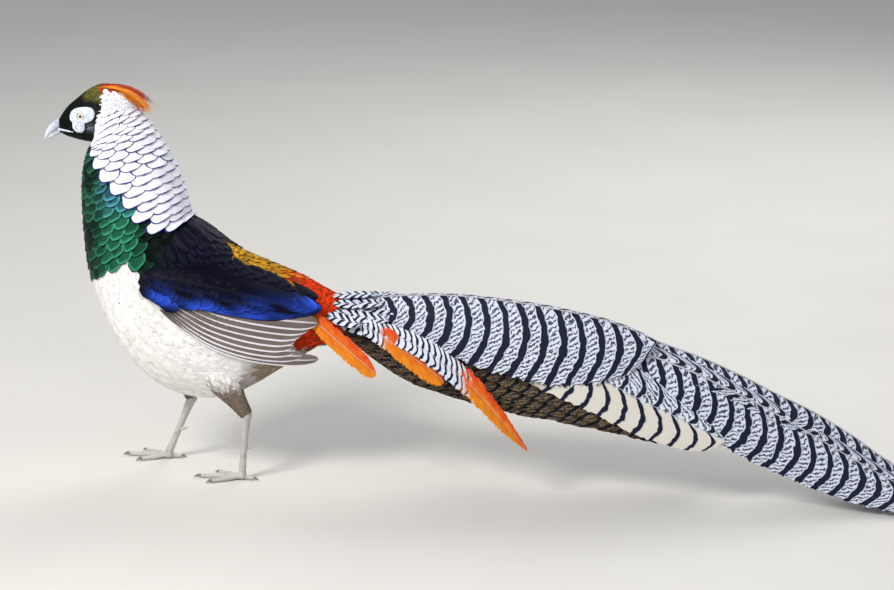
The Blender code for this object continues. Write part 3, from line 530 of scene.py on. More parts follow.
def markings(p):
    """Inner colour, rim colour and rim width in millimetres for short feathers at points p."""
    x, y, z = p[..., 0], np.abs(p[..., 1]), p[..., 2]
    # Foreneck and chest: green, painted darker in front and brighter at the side as sheen, turquoise above.
    bright = stepped(x, -138, -108) * stepped(z, 262, 285) * (1 - stepped(z, 392, 424)) * (1 - stepped(x, -80, -52))
    inner = blended(painted("#2f8563", x), tint("#4a8fa8"), stepped(z, 350, 395))
    inner = blended(inner, tint("#0a281c"), 1 - bright)
    rim, band = painted("#030807", x), 1.0 + 0.5 * bright
    # Mantle: nearly black, then blue-black over the shoulders.
    inner = blended(inner, tint("#04140f"), stepped(x, -84, -52))
    inner = blended(inner, tint("#05081f"), stepped(x, -30, 10))
    # Rump gold along the middle of the back, vermilion over the tail's root.
    gold = stepped(x, 14, 28) * (1 - stepped(y, 13, 24)) * stepped(z, 236, 250)
    golden = blended(painted("#dca32e", x), tint("#b9821f"), stepped(x, 40, 90))
    inner, rim = blended(inner, golden, gold), blended(rim, tint("#3a2a10"), gold)
    red = stepped(x, 108, 136) * np.maximum(1 - stepped(y, 24, 34), stepped(x, 128, 146))
    inner, rim, band = blended(inner, tint("#dc3a0c"), red), blended(rim, tint("#a82406"), red), band * (1 - 0.6 * red)
    # Breast and belly white, grey-brown and mottled towards the vent.
    white = 1 - stepped(z - np.interp(x, WHITE_EDGE[:, 0], WHITE_EDGE[:, 1]), -0.5, 0.5)
    pale = blended(painted("#f3f1ee", x), tint("#8a7a6a"), stepped(x - 0.5 * z, -36, 4))
    pale = blended(pale, tint("#4a3f35"), stepped(x, 88, 124))
    return blended(inner, pale, white), blended(rim, pale * 0.96, white), band * (1 - 0.6 * white)


print("The chest's side is", markings(np.array([-100.0, 50.0, 320.0]))[0].round(3), "in linear light")

# %% [markdown]
# ## Camera, floor and light
#
# The camera stands where the photographer stood, a little above the bird and
# slightly towards its tail. Hard sunlight would hide the blacks and burn out
# the whites, so the light is soft, with one brighter side.

# %% Stage
AZIMUTH, ELEVATION, DISTANCE = math.radians(9), math.radians(15), 3.5
SENSOR, SEEN_WIDTH = 36, 1.1622  # millimetres, and metres across the picture at the bird
FLOOR_HALF = 30000  # millimetres
TARGET = (np.array((327.7, 0, 254.7)) + SHIFT) * MM


def look_from(obj, position, target):
    """Turns an object at position so that its -Z axis points to target."""
    obj.location = position
    obj.rotation_mode = "QUATERNION"
    obj.rotation_quaternion = (Vector(target) - Vector(position)).to_track_quat("-Z", "Y")
    bpy.context.scene.collection.objects.link(obj)


def lamp(name, position, size, power, colour):
    """A square lamp of size metres that looks at the bird."""
    light = bpy.data.lights.new(name, "AREA")
    light.size, light.energy, light.color = size, power, tint(colour)
    look_from(bpy.data.objects.new(name, light), position, (-0.15, 0, 0.25))


camera = bpy.data.objects.new("camera", bpy.data.cameras.new("camera"))
back = np.array((math.sin(AZIMUTH) * math.cos(ELEVATION), -math.cos(AZIMUTH) * math.cos(ELEVATION),
                 math.sin(ELEVATION)))
look_from(camera, TARGET + back * DISTANCE, TARGET)
camera.data.sensor_width = SENSOR
camera.data.lens = SENSOR * DISTANCE / SEEN_WIDTH
bpy.context.scene.camera = camera
lamp("key", (-1.7, -1.9, 2.3), 1.0, 92, "#fffdfa")
lamp("fill", (1.9, -2.2, 1.3), 2.2, 20, "#eaf1ff")
lamp("back", (0.6, 2.2, 2.2), 1.6, 40, "#ffffff")
print("The lens is", round(camera.data.lens, 1), "mm")

# %% Sky and floor
world = bpy.data.worlds.new("studio")
bpy.context.scene.world = world
world.use_nodes = True
world.node_tree.nodes["Background"].inputs["Color"].default_value = (*tint("#dfe3e8"), 1)
world.node_tree.nodes["Background"].inputs["Strength"].default_value = 0.55
bpy.context.scene.view_settings.view_transform = "Standard"

# Matt painted board: patches of 0.3 m keep it from looking flat, and a grain of 2.5 mm roughens it.
floor_material, add, shader = new_material("pale_floor", roughness=0.75)
spot = add("TexCoord", out="Object")
patches, grit = (add("TexNoise", spot, sockets={"Scale": scale}) for scale in (3.0, 400))
wire(shader, add("Mix", patches, sockets={6: "#d8d5cf", 7: "#cfccc6"}, **COLOUR), grit, 0.0002, 0.2)
corner = np.array([(-1, -1, 0), (1, -1, 0), (1, 1, 0), (-1, 1, 0)], float) * FLOOR_HALF
floor = build("floor", corner, [(0, 1, 2, 3)], floor_material)
print("The floor is", 2 * FLOOR_HALF * MM, "m wide")

# %% [markdown]
# ## Skin
#
# Under the feathers lies one unbroken skin over torso, neck, head and thighs.
# Separate lofts would show their joins, and a Boolean union would keep sharp
# creases. A voxel remesh melts the lofts into one. The skin lies a little
# inside the solids, so that the feathers over it end where the solids do.

# %% Skin mesh
COAT_DEPTH = 2.5
LEGS = {
    "left": {"foot": (58, -36), "hock": (66, 90), "thigh": (26, 150)},
    "right": {"foot": (-60, 36), "hock": (-26, 88), "thigh": (-44, 146)},
}


def thigh_path(side):
    """Points and radii down the thigh, from inside the body to the hock."""
    leg = LEGS[side]
    top, hock = (np.array((leg[key][0], leg["foot"][1], leg[key][1]), float) for key in ("thigh", "hock"))
    knots = np.array([top + (top - hock) * 0.25, top, top * 0.6 + hock * 0.4, top * 0.25 + hock * 0.75, hock])
    t = np.linspace(0, 4, 24)
    path = np.stack([np.interp(t, range(5), knots[:, k]) for k in range(3)], axis=1)
    return path, np.interp(t, (0, 0.5, 1, 2, 3, 4), (6, 17, 21, 15.5, 9.5, 6.8))


# Skin with down on it: dull, with tufts 1.4 mm apart that show only in the gaps between feathers.
skin_material, add, shader = new_material("skin_under_feathers", roughness=0.8)
down = add("TexNoise", add("TexCoord", out="Object"), sockets={"Scale": 700, "Detail": 4})
base = add("Attribute", out="Color", attribute_name="base")
shade = add("Math", down, 0.5, operation="MULTIPLY")
wire(shader, add("Mix", shade, sockets={6: base, 7: "#000000"}, blend_type="MULTIPLY", **COLOUR), down, 0.0006, 0.6)

parts = [loft(BODY, 60, 64, -COAT_DEPTH), loft(HEAD, 40, 48, -1.0)]
for side in LEGS:
    path, radii = thigh_path(side)
    parts.append(tube(path, radii - COAT_DEPTH, 24, 1.2))
skin = build("skin", *joined(parts), skin_material)
change = skin.modifiers.new("merge", "REMESH")
change.mode, change.voxel_size = "VOXEL", 0.0024
change = skin.modifiers.new("smooth", "SMOOTH")
change.factor, change.iterations = 0.5, 4
merged = bpy.data.meshes.new_from_object(skin.evaluated_get(bpy.context.evaluated_depsgraph_get()))
skin.modifiers.clear()
skin.data = merged
print("The merged skin has", len(merged.vertices), "points")

# %% Skin colours
co = np.empty(len(merged.vertices) * 3)
merged.vertices.foreach_get("co", co)
p = co.reshape(-1, 3) / MM - SHIFT
x, y, z = p.T
colour = markings(p)[0]
# Where the skin is not pale it is painted 30 % darker than the feathers over it, as shade in the gaps between them.
colour = colour * (0.7 + 0.3 * (colour.min(axis=1, keepdims=True) > 0.4))
colour = blended(colour, tint("#0a120e"), stepped(z, 432, 444) * (1 - behind_edge(x, z)))
under_cape = behind_edge(x, z) & (z > 345)
colour = np.where(under_cape[:, None], tint("#c9c9d6"), colour)
near_leg = np.minimum(np.hypot(x - 40, y + 36), np.hypot(x + 30, y - 36))
colour = blended(colour, tint("#75675a"), (1 - stepped(z, 96, 118)) * (1 - stepped(near_leg, 30, 44)))
paint(merged, "base", colour)
merged.shade_smooth()
place(skin, "white_feather", "torso", "neck", "head", "thigh_left", "thigh_right")

# %% [markdown]
# ## Body feathers
#
# The chest's feathers are firm scales with a dark rim, those of the white
# belly soft and ragged, those of the rump loose and hair-like. Rows of roots
# are set out round the body like tiles, and the markings at each root decide
# which of the three kinds grows there.

# %% Roots on the body
STATIONS = (2, 6, 12, 15, 17, 19)
SCALES, SOFT, WARM = 0, 1, 2


def pick(keep, *arrays):
    """The same choice of roots from each array."""
    return [a[keep] for a in arrays]


def body_roots(pitch, width, seed):
    """Roots all over the body, but for the nape under the cape and what the head covers."""
    s, theta = roots(BODY, 19.2, 0.6, (STATIONS, pitch), (STATIONS, width), ALL_ROUND, seed, 0.18)
    at = surface(BODY, s, theta)
    keep = ~(behind_edge(at[:, 0] - 3, at[:, 2]) & (at[:, 2] > 366)) & (at[:, 2] < 447)
    s, theta, at = pick(keep, s, theta, at)
    loose = np.zeros((len(s), 3))
    loose[:, 0] = rng.normal(0, 7, len(s)) * (at[:, 0] > 0)
    inner, rim, band = markings(surface(BODY, s - 0.4, theta) + loose)
    warm = (inner[:, 0] > 3 * inner[:, 2]) & (inner[:, 0] > 0.3)
    vent = (at[:, 0] > 50) & (at[:, 2] < 200) & ~warm
    kind = np.where(warm, WARM, np.where((inner.mean(axis=1) > 0.3) | vent, SOFT, SCALES))
    return kind, (s, theta, at, inner, rim, band)


kind, found = body_roots((9, 11, 11, 9, 6.5, 4.2), (11, 14, 19, 16, 11, 7), 3)
at = found[2]
under_wing = (at[:, 0] > -68) & (at[:, 0] < 100) & (at[:, 2] < 264)
s, theta, at, inner, rim, band = pick((kind == SCALES) & ~under_wing, *found)
print(len(s), "roots for scales on chest and back")

# %% Scales of chest and back
# Some scales of the foreneck catch the light, and those at the cape's edge lie flat beneath it.
glint = (rng.uniform(0, 1, len(s)) < 0.4) * (1 - stepped(at[:, 0], -140, -104)) * stepped(at[:, 2], 262, 285)
rim = blended(rim, tint("#7f9a78"), glint * 0.7)
inner = blended(inner, tint("#1f6247"), glint * 0.8)
beneath = behind_edge(at[:, 0] + 16, at[:, 2]) & (at[:, 2] > 290)
length = np.interp(s, STATIONS, (24, 26, 30, 26, 18, 12))
width = np.interp(s, STATIONS, (18, 22, 29, 25, 17, 10))
swing = rng.normal(0, 0.07, len(s))
sheet = laid(BODY, s, theta, length, width, (-2.6, 1.4 - 2.4 * each(beneath)), (10, 11), swing, 0.8, 0.03, (0.5, 0.6))
coloured(sheet, inner, rim, band * (1 - 0.6 * glint))
feather_piece("chest_and_back_feathers", [sheet], firm_feathers, "green_feather")

# %% Soft feathers of breast and belly
kind, found = body_roots((9, 10, 8.5, 7, 6, 4.2), (9, 13, 12, 10, 8, 6), 4)
s, theta, at, inner, rim, band = pick(kind == SOFT, *found)
mottle = (rng.uniform(0, 1, len(s)) > 0.5) * (0.3 * stepped(at[:, 0], 45, 65) + 0.4 * stepped(at[:, 0], 92, 112))
inner = blended(inner, tint("#b9a585"), mottle)
size = np.interp(s, (2, 6, 12, 17, 19), (0.85, 1.1, 1.0, 0.72, 0.5))
rough = each(0.25 + 0.75 * stepped(at[:, 0], 20, 90))
lift = (-1.7, -1.0 + 1.4 * (rough - 0.25))
sheets = []
for turn, ahead in ((-0.12, 0.0), (0.1, 0.05), (0.0, 0.1), (-0.22, 0.15), (0.22, 0.2)):
    swing = turn + rng.normal(0, 0.08, len(s))
    sheet = laid(BODY, s - ahead, theta + turn * 0.3, 30 * size, 11 * size, lift, (8, 5), swing, 0.2, 0.1, (0.5, 0.3))
    jitter = 1 + rng.normal(0, 0.01, (len(s), 1)) * (1 + 8 * stepped(at[:, 0], 40, 100)[:, None])
    sheets.append(coloured(sheet, inner * jitter, rim * jitter, band))
feather_piece("belly_feathers", sheets, soft_feathers, "white_feather")

# %% Loose feathers of the rump
s, theta, at, inner, rim, band = pick((kind == WARM) & (found[0] > 2.4), *found)
length = np.interp(at[:, 0], (120, 165), (33, 17))
sheets = []
for turn in (-0.2, 0.0, 0.2):
    own_length = length * rng.uniform(0.8, 1.2, len(s))
    swing = turn + rng.normal(0, 0.1, len(s))
    sheet = laid(BODY, s, theta + turn * 0.3, own_length, 9.0, (-1.5, 2.4), (10, 7), swing, 0.4, 0.14, (0.5, 0.3))
    shade = rng.uniform(0.75, 1.15, (len(s), 1)) * np.array((1, 1, 0.8))
    sheets.append(coloured(sheet, inner * shade, rim, 0.15))
feather_piece("rump_feathers", sheets, soft_feathers, "crest_feather")

# %% [markdown]
# ## Cape
#
# The cape is a ruff of white feathers with a blue-black rim, small behind the
# crown and broad over the mantle. Painted on a smooth cape they would have no
# edges against the green, so they are tiles as well, wider than they are long.

# %% Cape
# Smooth white keratin: brighter and a little glossier than the belly.
cape_material = feather_material("cape_feathers", 0.9, 0.16, roughness=0.6, specular_ior_level=0.25)
CAPE_STATIONS = (13, 16, 18, 19)
spread = (range(12, 20), np.array((0.25, 0.72, 1.1, 1.36, 1.55, 1.75, 1.95, 2.05)) + 0.06)
s, theta = roots(BODY, 19.0, 12.9, (CAPE_STATIONS, (10.5, 9.6, 7.2, 5.0)), (CAPE_STATIONS, (24, 22, 15, 10)),
                 spread, 5, 0.08)
share = np.clip((19.0 - s) / 6.1, 0, 1)
swing = 0.22 * np.sign(theta) * (1 - share) + rng.normal(0, 0.05, len(s))
tiles = laid(BODY, s, theta, 19 + 19 * share, 16 + 20 * np.sqrt(share), (-2.4, 3.2), (12, 15), swing, 0.6, 0.02,
             (0.5, 0.66))
white = 1 + rng.normal(0, 0.015, (len(s), 1))
coloured(tiles, tint("#f0f0f8") * white, tint("#211e82"), 0.4 + 1.6 * np.sqrt(share))
print(len(s), "tiles from the head down to the mantle")

# %% Back of the head, from the crown's edge down to the first row on the neck
s, theta = roots(HEAD, 4.4, 0.3, ((0,), (3.6,)), ((0,), (5.6,)), ((0,), (math.pi * 0.9,)), 6, 0.2)
at = surface(HEAD, s, theta)
s, theta = pick(behind_edge(at[:, 0] + 4, at[:, 2]) & (at[:, 2] < 511) & (np.abs(theta) > 0.35), s, theta)
small = laid(HEAD, s, theta, 12, 7.5, (-0.6, 1.6), (7, 7), -0.3 * np.sign(theta), 0.4, 0.03, (0.45, 0.5))
white = 1 + rng.normal(0, 0.015, (len(s), 1))
coloured(small, tint("#f0f0f8") * white, tint("#9a9cc0"), 0.3)
feather_piece("cape_feathers", atlas([tiles, small]), cape_material, "cape_feather", "cape")


# %% [markdown]
# ## Head
#
# Tiny dark feathers cover the face and throat, olive and red ones the crown,
# and bare skin is left round the eye. Fur-like strands would be too soft for
# them: they lie as close as scales.

# %% The head's side and its bare patch
def on_head(x, z):
    """Surface y of the head at side-view places: half width times sqrt(1 - level^2) of the ring through x."""
    middle = (HEAD[:, 0] + HEAD[:, 2]) / 2
    row = rows_at(HEAD, np.interp(-x, -middle, np.arange(len(HEAD))))
    centre, reach = (row[:, 1] + row[:, 3]) / 2, (row[:, 3] - row[:, 1]) / 2
    level = np.clip((z.ravel() - centre) / reach, -0.98, 0.98)
    return (row[:, 4] * np.sqrt(1 - level**2)).reshape(x.shape)


def bare(x, z):
    """Below 1 inside the bare skin: an oval round the eye and a rounder lappet under it."""
    oval = np.abs((x + 149.5) / 18) ** 2.5 + np.abs((z - 480.8 - 0.16 * (x + 150)) / 10.6) ** 2.5
    lappet = ((x + 155) / 9.0) ** 2 + ((z - 465.5) / 9.0) ** 2
    return np.minimum(oval, lappet)


print("The head is", round(2 * float(on_head(np.array([-150.0]), np.array([479.0]))[0]), 1), "mm wide at the eyes")

# %% Face feathers
# Close, short keratin: a soft sheen on nearly black.
face_material = feather_material("face_feathers", 0.5, 0.3, roughness=0.5, specular_ior_level=0.15)
sizes_at = (1, 5, 9)
s, theta = roots(HEAD, 9.1, 0.9, (sizes_at, (3.4, 2.6, 1.7)), (sizes_at, (4.0, 3.3, 2.2)), ALL_ROUND, 11, 0.2)
at = surface(HEAD, s, theta)
keep = (bare(at[:, 0] - 1.0, at[:, 2]) > 1.0) & (at[:, 0] < -84)
keep &= ~(behind_edge(at[:, 0] + 2.5, at[:, 2]) & (at[:, 2] < 506))
s, theta, at = pick(keep, s, theta, at)
size = np.interp(s, sizes_at, (1.0, 0.8, 0.5))
x, z = at[:, 0], at[:, 2]
olive = stepped(z, 495, 503) * stepped(x, -158, -147) * rng.uniform(0.5, 1, len(s))
inner = blended(painted("#07130f", s), tint("#7c7a35"), olive)
inner = blended(inner, tint("#c5361b"), stepped(x, -136, -126) * stepped(z, 508, 513))
ear = np.exp(-(((x + 141) / 7) ** 2) - ((z - 464) / 5.5) ** 2)
inner = blended(inner, tint("#8b8f9b"), ear * rng.uniform(0.1, 0.9, len(s)))
sheet = laid(HEAD, s, theta, 8.0 * size, 5.2 * size, (-1.0, 0.9), (6, 5), 0.0, 0.3, 0.05)
feather_piece("face_feathers", [coloured(sheet, inner, inner * 0.35, 0.35)], face_material, "green_feather")

# %% [markdown]
# ## Crest
#
# Long silky feathers spring from the crown and sweep back over the nape, red
# above and orange at the sides. A solid tuft would show no strands, so each
# is a narrow ribbon three points wide that bends along its own arc.

# %% Crest strands
# Silk-like keratin: smooth strands with a soft shine.
crest_material = feather_material("crest_feathers", 1.2, 0.15, roughness=0.5, specular_ior_level=0.2)
STRANDS = 260
t, u = vane_grid(14, 3, 1.2)
start = rng.uniform(0, 1, STRANDS)  # 0 at the forehead, 1 at the back of the crown
side = rng.uniform(-1, 1, STRANDS)
low = np.abs(side) * (0.8 + 0.2 * start)
x = each(-140 + 30 * start)
root_y = each(side * np.interp(start, (0, 1), (8, 14)))
reach = each((np.interp(low, (0, 1), (-68, -52)) + 140 - 30 * start) * rng.uniform(0.78, 1.0, STRANDS))
drop = each(8 + 24 * low + rng.uniform(-1, 2, STRANDS))
level = np.interp(x, (-147, -134, -124, -111), (511, 518, 519, 517.5))
mid_y = root_y * (1 + 0.25 * t) + each(side * 4) * t
mid_z = level - 1.5 + 5.5 * np.sin(np.pi * t) * (0.9 - 0.4 * each(start)) - drop * t**1.8
mid_z = np.minimum(mid_z, 520.5)
half = 1.15 * outline(t, 0.4, 0.3) * (0.3 + 0.7 * stepped(t, 0, 0.2))
tilt = each(0.5 * side)
points = stacked(x + reach * t, mid_y + u * half * np.cos(tilt), mid_z - u * half * np.sin(tilt))
print("The longest strand reaches", round(float(reach.max()), 1), "mm back")

# %% Crest colours
low = np.clip(low * 1.1 + rng.uniform(-0.35, 0.25, STRANDS), 0, 1)
inner = blended(painted("#c9290f", start), tint("#f09422"), low) * rng.uniform(0.7, 1.15, (STRANDS, 1))
fade = np.clip(1 - t * 5, 0, 1)[..., None] * np.clip(1 - start * 2.2, 0, 1)[:, None, None, None]
inner = inner[:, None, None, :] * (1 - fade) + tint("#b98a3a") * fade
fields = {"inset": np.ones((1, 1, 1)), "barb": t * reach, "along": t, "band": np.zeros((1, 1, 1)),
          "tone": rng.uniform(-1, 1, (STRANDS, 1, 1)), "base": inner, "rim": inner}
own = stacked((each(start) + 0.0015 * u) * 0.98 + 0.01, each(side) * 0.48 + 0.5 + 0.003 * t)
sheet = {"points": points, "fields": fields, "bake": own}
feather_piece("crest_feathers", [sheet], crest_material, "crest_feather", "crest")

# %% [markdown]
# ## Bare face skin
#
# Round the eye the skin is bare, pale blue-white and finely wrinkled, and it
# swells to lids at the eye. It could be carved out of the head, but a patch of
# its own on the head's curve keeps its edge crisp against the feathers.

# %% Bare skin
# Thin living skin: light goes a little way in, veins 2.4 mm and pores 0.7 mm apart break it up.
bare_skin, add, shader = new_material("bare_face_skin", roughness=0.55, subsurface_weight=0.15)
shader.inputs["Subsurface Radius"].default_value = (0.002, 0.001, 0.001)
spot = add("TexCoord", out="Object")
pores = add("TexNoise", spot, sockets={"Scale": 1500, "Detail": 3})
veins = add("TexNoise", spot, sockets={"Scale": 420, "Detail": 4, "Distortion": 1.2})
veins = add("MapRange", veins, 0.42, 0.6, **SMOOTH)
colour = add("Mix", veins, sockets={6: "#eceef4", 7: "#aebbd4"}, **COLOUR)
dots = add("MapRange", pores, 0.6, 0.75, 0, 0.35, **SMOOTH)
wire(shader, add("Mix", dots, sockets={6: colour, 7: "#7f8fb4"}, **COLOUR), pores, 0.0004, 0.6)
print("The bare skin is made of", len(bare_skin.node_tree.nodes), "nodes")

# %% Face skin and mouth corners
EYE = np.array((-151.0, 14.9, 480.0))
AROUND, RINGS = 72, 26


def face_skin(side):
    """Rings from the eye's slit out to the bare patch's edge, raised 2.3 sqrt(1 - ring^2.5) mm, with folds."""
    sign = SIDES[side]
    ring = np.linspace(0, 1, RINGS)[:, None]
    turn = turns(AROUND)
    ray = np.linspace(4, 32, 113)[:, None]
    inside = bare(EYE[0] + ray * np.cos(turn), EYE[2] + ray * np.sin(turn)) < 1.0
    outer = 4 + inside.sum(axis=0) * 0.25
    outer = np.convolve(np.tile(outer, 3), np.ones(3) / 3, "same")[AROUND : 2 * AROUND][None, :]
    slit = 4.7 * np.sqrt(np.cos(turn) ** 2 + 0.72 * np.sin(turn) ** 2)
    radius = slit + (outer - slit) * ring
    x, z = EYE[0] + radius * np.cos(turn), EYE[2] + radius * np.sin(turn)
    rise = 2.3 * np.sqrt(np.clip(1 - ring**2.5, 0, 1)) + 0.9 * np.exp(-((ring - 0.12) / 0.08) ** 2)
    folds = 0.22 * np.sin(ring * 30 + 2 * np.sin(turn * 3)) * np.sin(np.pi * ring)
    y = on_head(x, z) + rise + folds - 0.8 * (ring > 0.98) - 1.6 * (ring < 0.02)
    points = stacked(x, sign * y, z)
    faces = ring_faces(RINGS, AROUND)
    piece = build("face_skin_" + side, points.reshape(-1, 3), faces[:, ::-1] if sign < 0 else faces, bare_skin)
    place(piece, "bare_skin", "face_skin_" + side)


def mouth_corner(side):
    """The pale edge of the gape, a thin fold from the bill back to the mouth's corner."""
    x = np.linspace(-185, -163, 18)
    z = np.interp(x, (-185, -163), (459.8, 457.3))
    path = np.stack([x, SIDES[side] * (on_head(np.maximum(x, -183), z) + 0.1), z], axis=1)
    radii = np.interp(x, (-185, -172, -163), (1.5, 1.3, 0.5))
    place(build("mouth_corner_" + side, *tube(path, radii, 12), bare_skin), "bare_skin")


print("Each patch of face skin has", (RINGS - 1) * AROUND, "faces")


# %% [markdown]
# ## Eyes
#
# The eye is a wet ball with a pale iris round a black pupil. Rings of faces
# could carry the iris, but a value that says how far each point lies from the
# pupil's middle gives edges as sharp as the render can show.

# %% Eyes
EYE_RADIUS = 6.5

# Wet cornea: a smooth clear coat gives the small bright highlight. The iris has flecks 0.4 mm wide.
eyeball, add, shader = new_material("eyeball", roughness=0.12, coat_weight=1.0, coat_roughness=0.03)
far = add("Attribute", out="Fac", attribute_name="far")
flecks = add("TexNoise", add("TexCoord", out="Object"), sockets={"Scale": 2600, "Detail": 3})
outwards = add("MapRange", far, 2.1, 4.4, **SMOOTH)
iris = add("Mix", outwards, sockets={6: "#f1ead6", 7: "#cfc09a"}, **COLOUR)
flecks = add("MapRange", flecks, 0.45, 0.7, 0, 0.3, **SMOOTH)
iris = add("Mix", flecks, sockets={6: iris, 7: "#a8986c"}, **COLOUR)
pupil = add("MapRange", far, 1.9, 2.15, 1, 0, **SMOOTH)
colour = add("Mix", pupil, sockets={6: iris, 7: "#050506"}, **COLOUR)
# Painted shade where the ball goes in under the lids: dark from the lid's edge on.
lid_crease_shade = add("MapRange", far, 4.3, 4.9, **SMOOTH)
wire(shader, add("Mix", lid_crease_shade, sockets={6: colour, 7: "#15120f"}, **COLOUR))


def ball(side):
    """A sphere by its angle phi from the outermost point; far is the arc radius * phi."""
    sign, around, rings = SIDES[side], 40, 33
    phi = np.linspace(0.0, np.pi, rings)[:, None]
    turn = turns(around)
    unit = stacked(np.sin(phi) * np.cos(turn), sign * np.cos(phi), np.sin(phi) * np.sin(turn))
    points = unit * EYE_RADIUS + EYE * np.array((1, sign, 1))
    far = np.broadcast_to(EYE_RADIUS * phi, (rings, around)).ravel()
    faces = ring_faces(rings, around)
    faces = faces[:, ::-1] if sign > 0 else faces
    place(build("eyeball_" + side, points.reshape(-1, 3), faces, eyeball, {"far": far}), "eyeball", "eye_" + side)


for side in SIDES:
    face_skin(side)
    mouth_corner(side)
    ball(side)

# %% [markdown]
# ## Bill
#
# The bill is two horn shells over bone, the upper one ridged and hooked over
# the lower, with a nostril on each side. It could be carved from a block. The
# same rings as the body's serve better, their sides drawn in to a cutting
# edge.

# %% Bill
UPPER_BILL = np.array([
    (-183.8, 460.5, -184.9, 474, 7.5), (-190, 457, -193, 469, 6.3), (-197, 452.5, -200.5, 461.5, 4.6),
    (-202.5, 447.5, -205, 453, 2.8), (-205.5, 443.5, -206.8, 445.5, 1.0),
], float)
LOWER_BILL = np.array([
    (-183.6, 452.5, -183.8, 459.8, 6.8), (-190, 449.8, -190.2, 456.2, 5.4), (-196, 447.3, -196.8, 451.6, 3.4),
    (-200.5, 446.2, -201.2, 448.3, 1.2),
], float)

# Polished horn: paler at the tip, with streaks 6 mm long and 1 mm wide under a thin waxy shine.
bill_horn, add, shader = new_material("bill_horn", roughness=0.32, coat_weight=0.15, coat_roughness=0.2)
spot = add("TexCoord", out="Object")
tip_at, root_at = ((x + SHIFT[0]) * MM for x in (-204, -186))
to_root = add("MapRange", add("SeparateXYZ", spot), tip_at, root_at, **SMOOTH)
base = add("Mix", to_root, sockets={6: "#dfe0e4", 7: "#a9b1c0"}, **COLOUR)
stretched = add("Mapping", spot, sockets={"Scale": (1.0, 6.0, 6.0)})
streaks = add("TexNoise", stretched, sockets={"Scale": 160, "Detail": 4})
shown = add("MapRange", streaks, 0.45, 0.7, 0, 0.5, **SMOOTH)
wire(shader, add("Mix", shown, sockets={6: base, 7: "#8d93a3"}, **COLOUR), streaks, 0.0002, 0.4)

around = 48
for name, table in (("bill_upper", UPPER_BILL), ("bill_lower", LOWER_BILL)):
    s = np.linspace(0, len(table) - 1, 40)[:, None]
    theta = turns(around)
    points = surface(table, s, theta)
    # Half width times sin(theta) ** 0.8, and on the upper shell narrower towards its ridge.
    ridge = 0.18 * np.clip(np.cos(theta), 0, 1) * (name == "bill_upper")
    points[..., 1] = rows_at(table, s)[:, 4:5] * np.abs(np.sin(theta)) ** 0.8 * np.sign(np.sin(theta)) * (1 - ridge)
    if name == "bill_upper":
        nostril = np.exp(-(((points[..., 0] + 190) / 2.6) ** 2 + ((points[..., 2] - 466) / 1.1) ** 2) ** 2)
        points[..., 1] -= np.sign(points[..., 1]) * 1.5 * nostril
    points = closed(points)
    piece = build(name + "_horn", points.reshape(-1, 3), ring_faces(len(points), around), bill_horn)
    place(piece, "horn", name)


# %% [markdown]
# ## Wings
#
# A folded wing shows glossy blue-black coverts above and grey-brown flight
# feathers below, each edged in white along its outer side. Real flight
# feathers fan out from the wrist and slide under each other. They could hang
# on bones, but the wing never opens here, so they are laid side by side on one
# smooth surface that bulges like the folded wing.

# %% Feathers on the folded wing
def wing_y(x, z):
    """How far out the folded wing lies: 74.5 less quadratic falls towards its front, back and lower edge."""
    fore = np.clip((-x - 30) / 55, 0, 1) ** 2
    aft = np.clip((x - 5) / 165, 0, 1.1) ** 2
    low = ((z - 232) / 70) ** 2
    return 74.5 - 15 * fore - 34 * aft - 12 * low * (1 - 0.5 * np.clip(aft, 0, 1))


def wing_sheet(root, tip, width, lift, sag, sign, grid, shape, ragged, cup=0.8):
    """Feathers from roots to tips in the side view, bowed down by sag 4t(1-t) and folded in over the back."""
    rows, cols = grid
    width, sag = each(width), each(sag)
    t, u = vane_grid(rows, cols, 1.3)
    length = each(np.linalg.norm(tip - root, axis=1))
    way = (tip - root) / length[:, :, 0]
    half = outline(t, *shape) * width / 2 * (1 + ragged * rng.uniform(-1, 1, (len(root), rows, cols)))
    bow = -sag * 4 * t * (1 - t) + u * half
    x = each(root[:, 0]) + each(way[:, 0]) * t * length - each(way[:, 1]) * bow
    z = each(root[:, 1]) + each(way[:, 1]) * t * length + each(way[:, 0]) * bow
    fold = np.clip((z - np.interp(x, (-90, 0, 100, 180), (284, 270, 246, 232))) / 28, 0, 1.3) ** 2
    pull = (18 + 32 * stepped(x, 40, 150)) * fold
    out = np.maximum(wing_y(x, z) - pull, 6) + each(lift[:, 0]) + each(lift[:, 1] - lift[:, 0]) * t - cup * u**2
    fields = vane_fields(t, u, half, length)
    fields["side"] = u
    own = stacked(0.5 + 0.44 * u, 0.06 + 0.88 * t)
    return {"points": stacked(x, sign * out, z), "fields": fields, "own": own}


print("The folded wing is", round(2 * float(wing_y(0, 232)), 1), "mm from side to side at its widest")

# %% Flight feathers
FLIGHT_COUNT = 8

# Worn keratin: dull grey-brown vanes clouded every 17 mm, a white outer edge, a pale shaft, barbs 0.9 mm apart.
flight_material, add, shader = new_material("flight_feathers", roughness=0.55)
side_share, along = (add("Attribute", out="Fac", attribute_name=key) for key in ("side", "along"))
cloud = add("TexNoise", add("TexCoord", out="Object"), sockets={"Scale": 60, "Detail": 3})
colour = add("Mix", cloud, sockets={6: "#5f524c", 7: "#83766f"}, **COLOUR)
edge = add("MapRange", side_share, -0.84, -0.74, 1, 0, **SMOOTH)
colour = add("Mix", edge, sockets={6: colour, 7: "#f4eff4"}, **COLOUR)
shaft = add("MapRange", add("Math", side_share, operation="ABSOLUTE"), 0.05, 0.14, 1, 0, **SMOOTH)
colour = add("Mix", shaft, sockets={6: colour, 7: "#e9dfe2"}, **COLOUR)
# Painted shade under the coverts: each vane darkens towards its root.
covered = add("MapRange", along, 0.02, 0.2, 0.85, 0, **SMOOTH)
colour = add("Mix", covered, sockets={6: colour, 7: "#1d161b"}, **COLOUR)
colour, ridges = barbed(add, colour, 0.9, 0.25)
wire(shader, colour, ridges, 0.0003, 0.5)


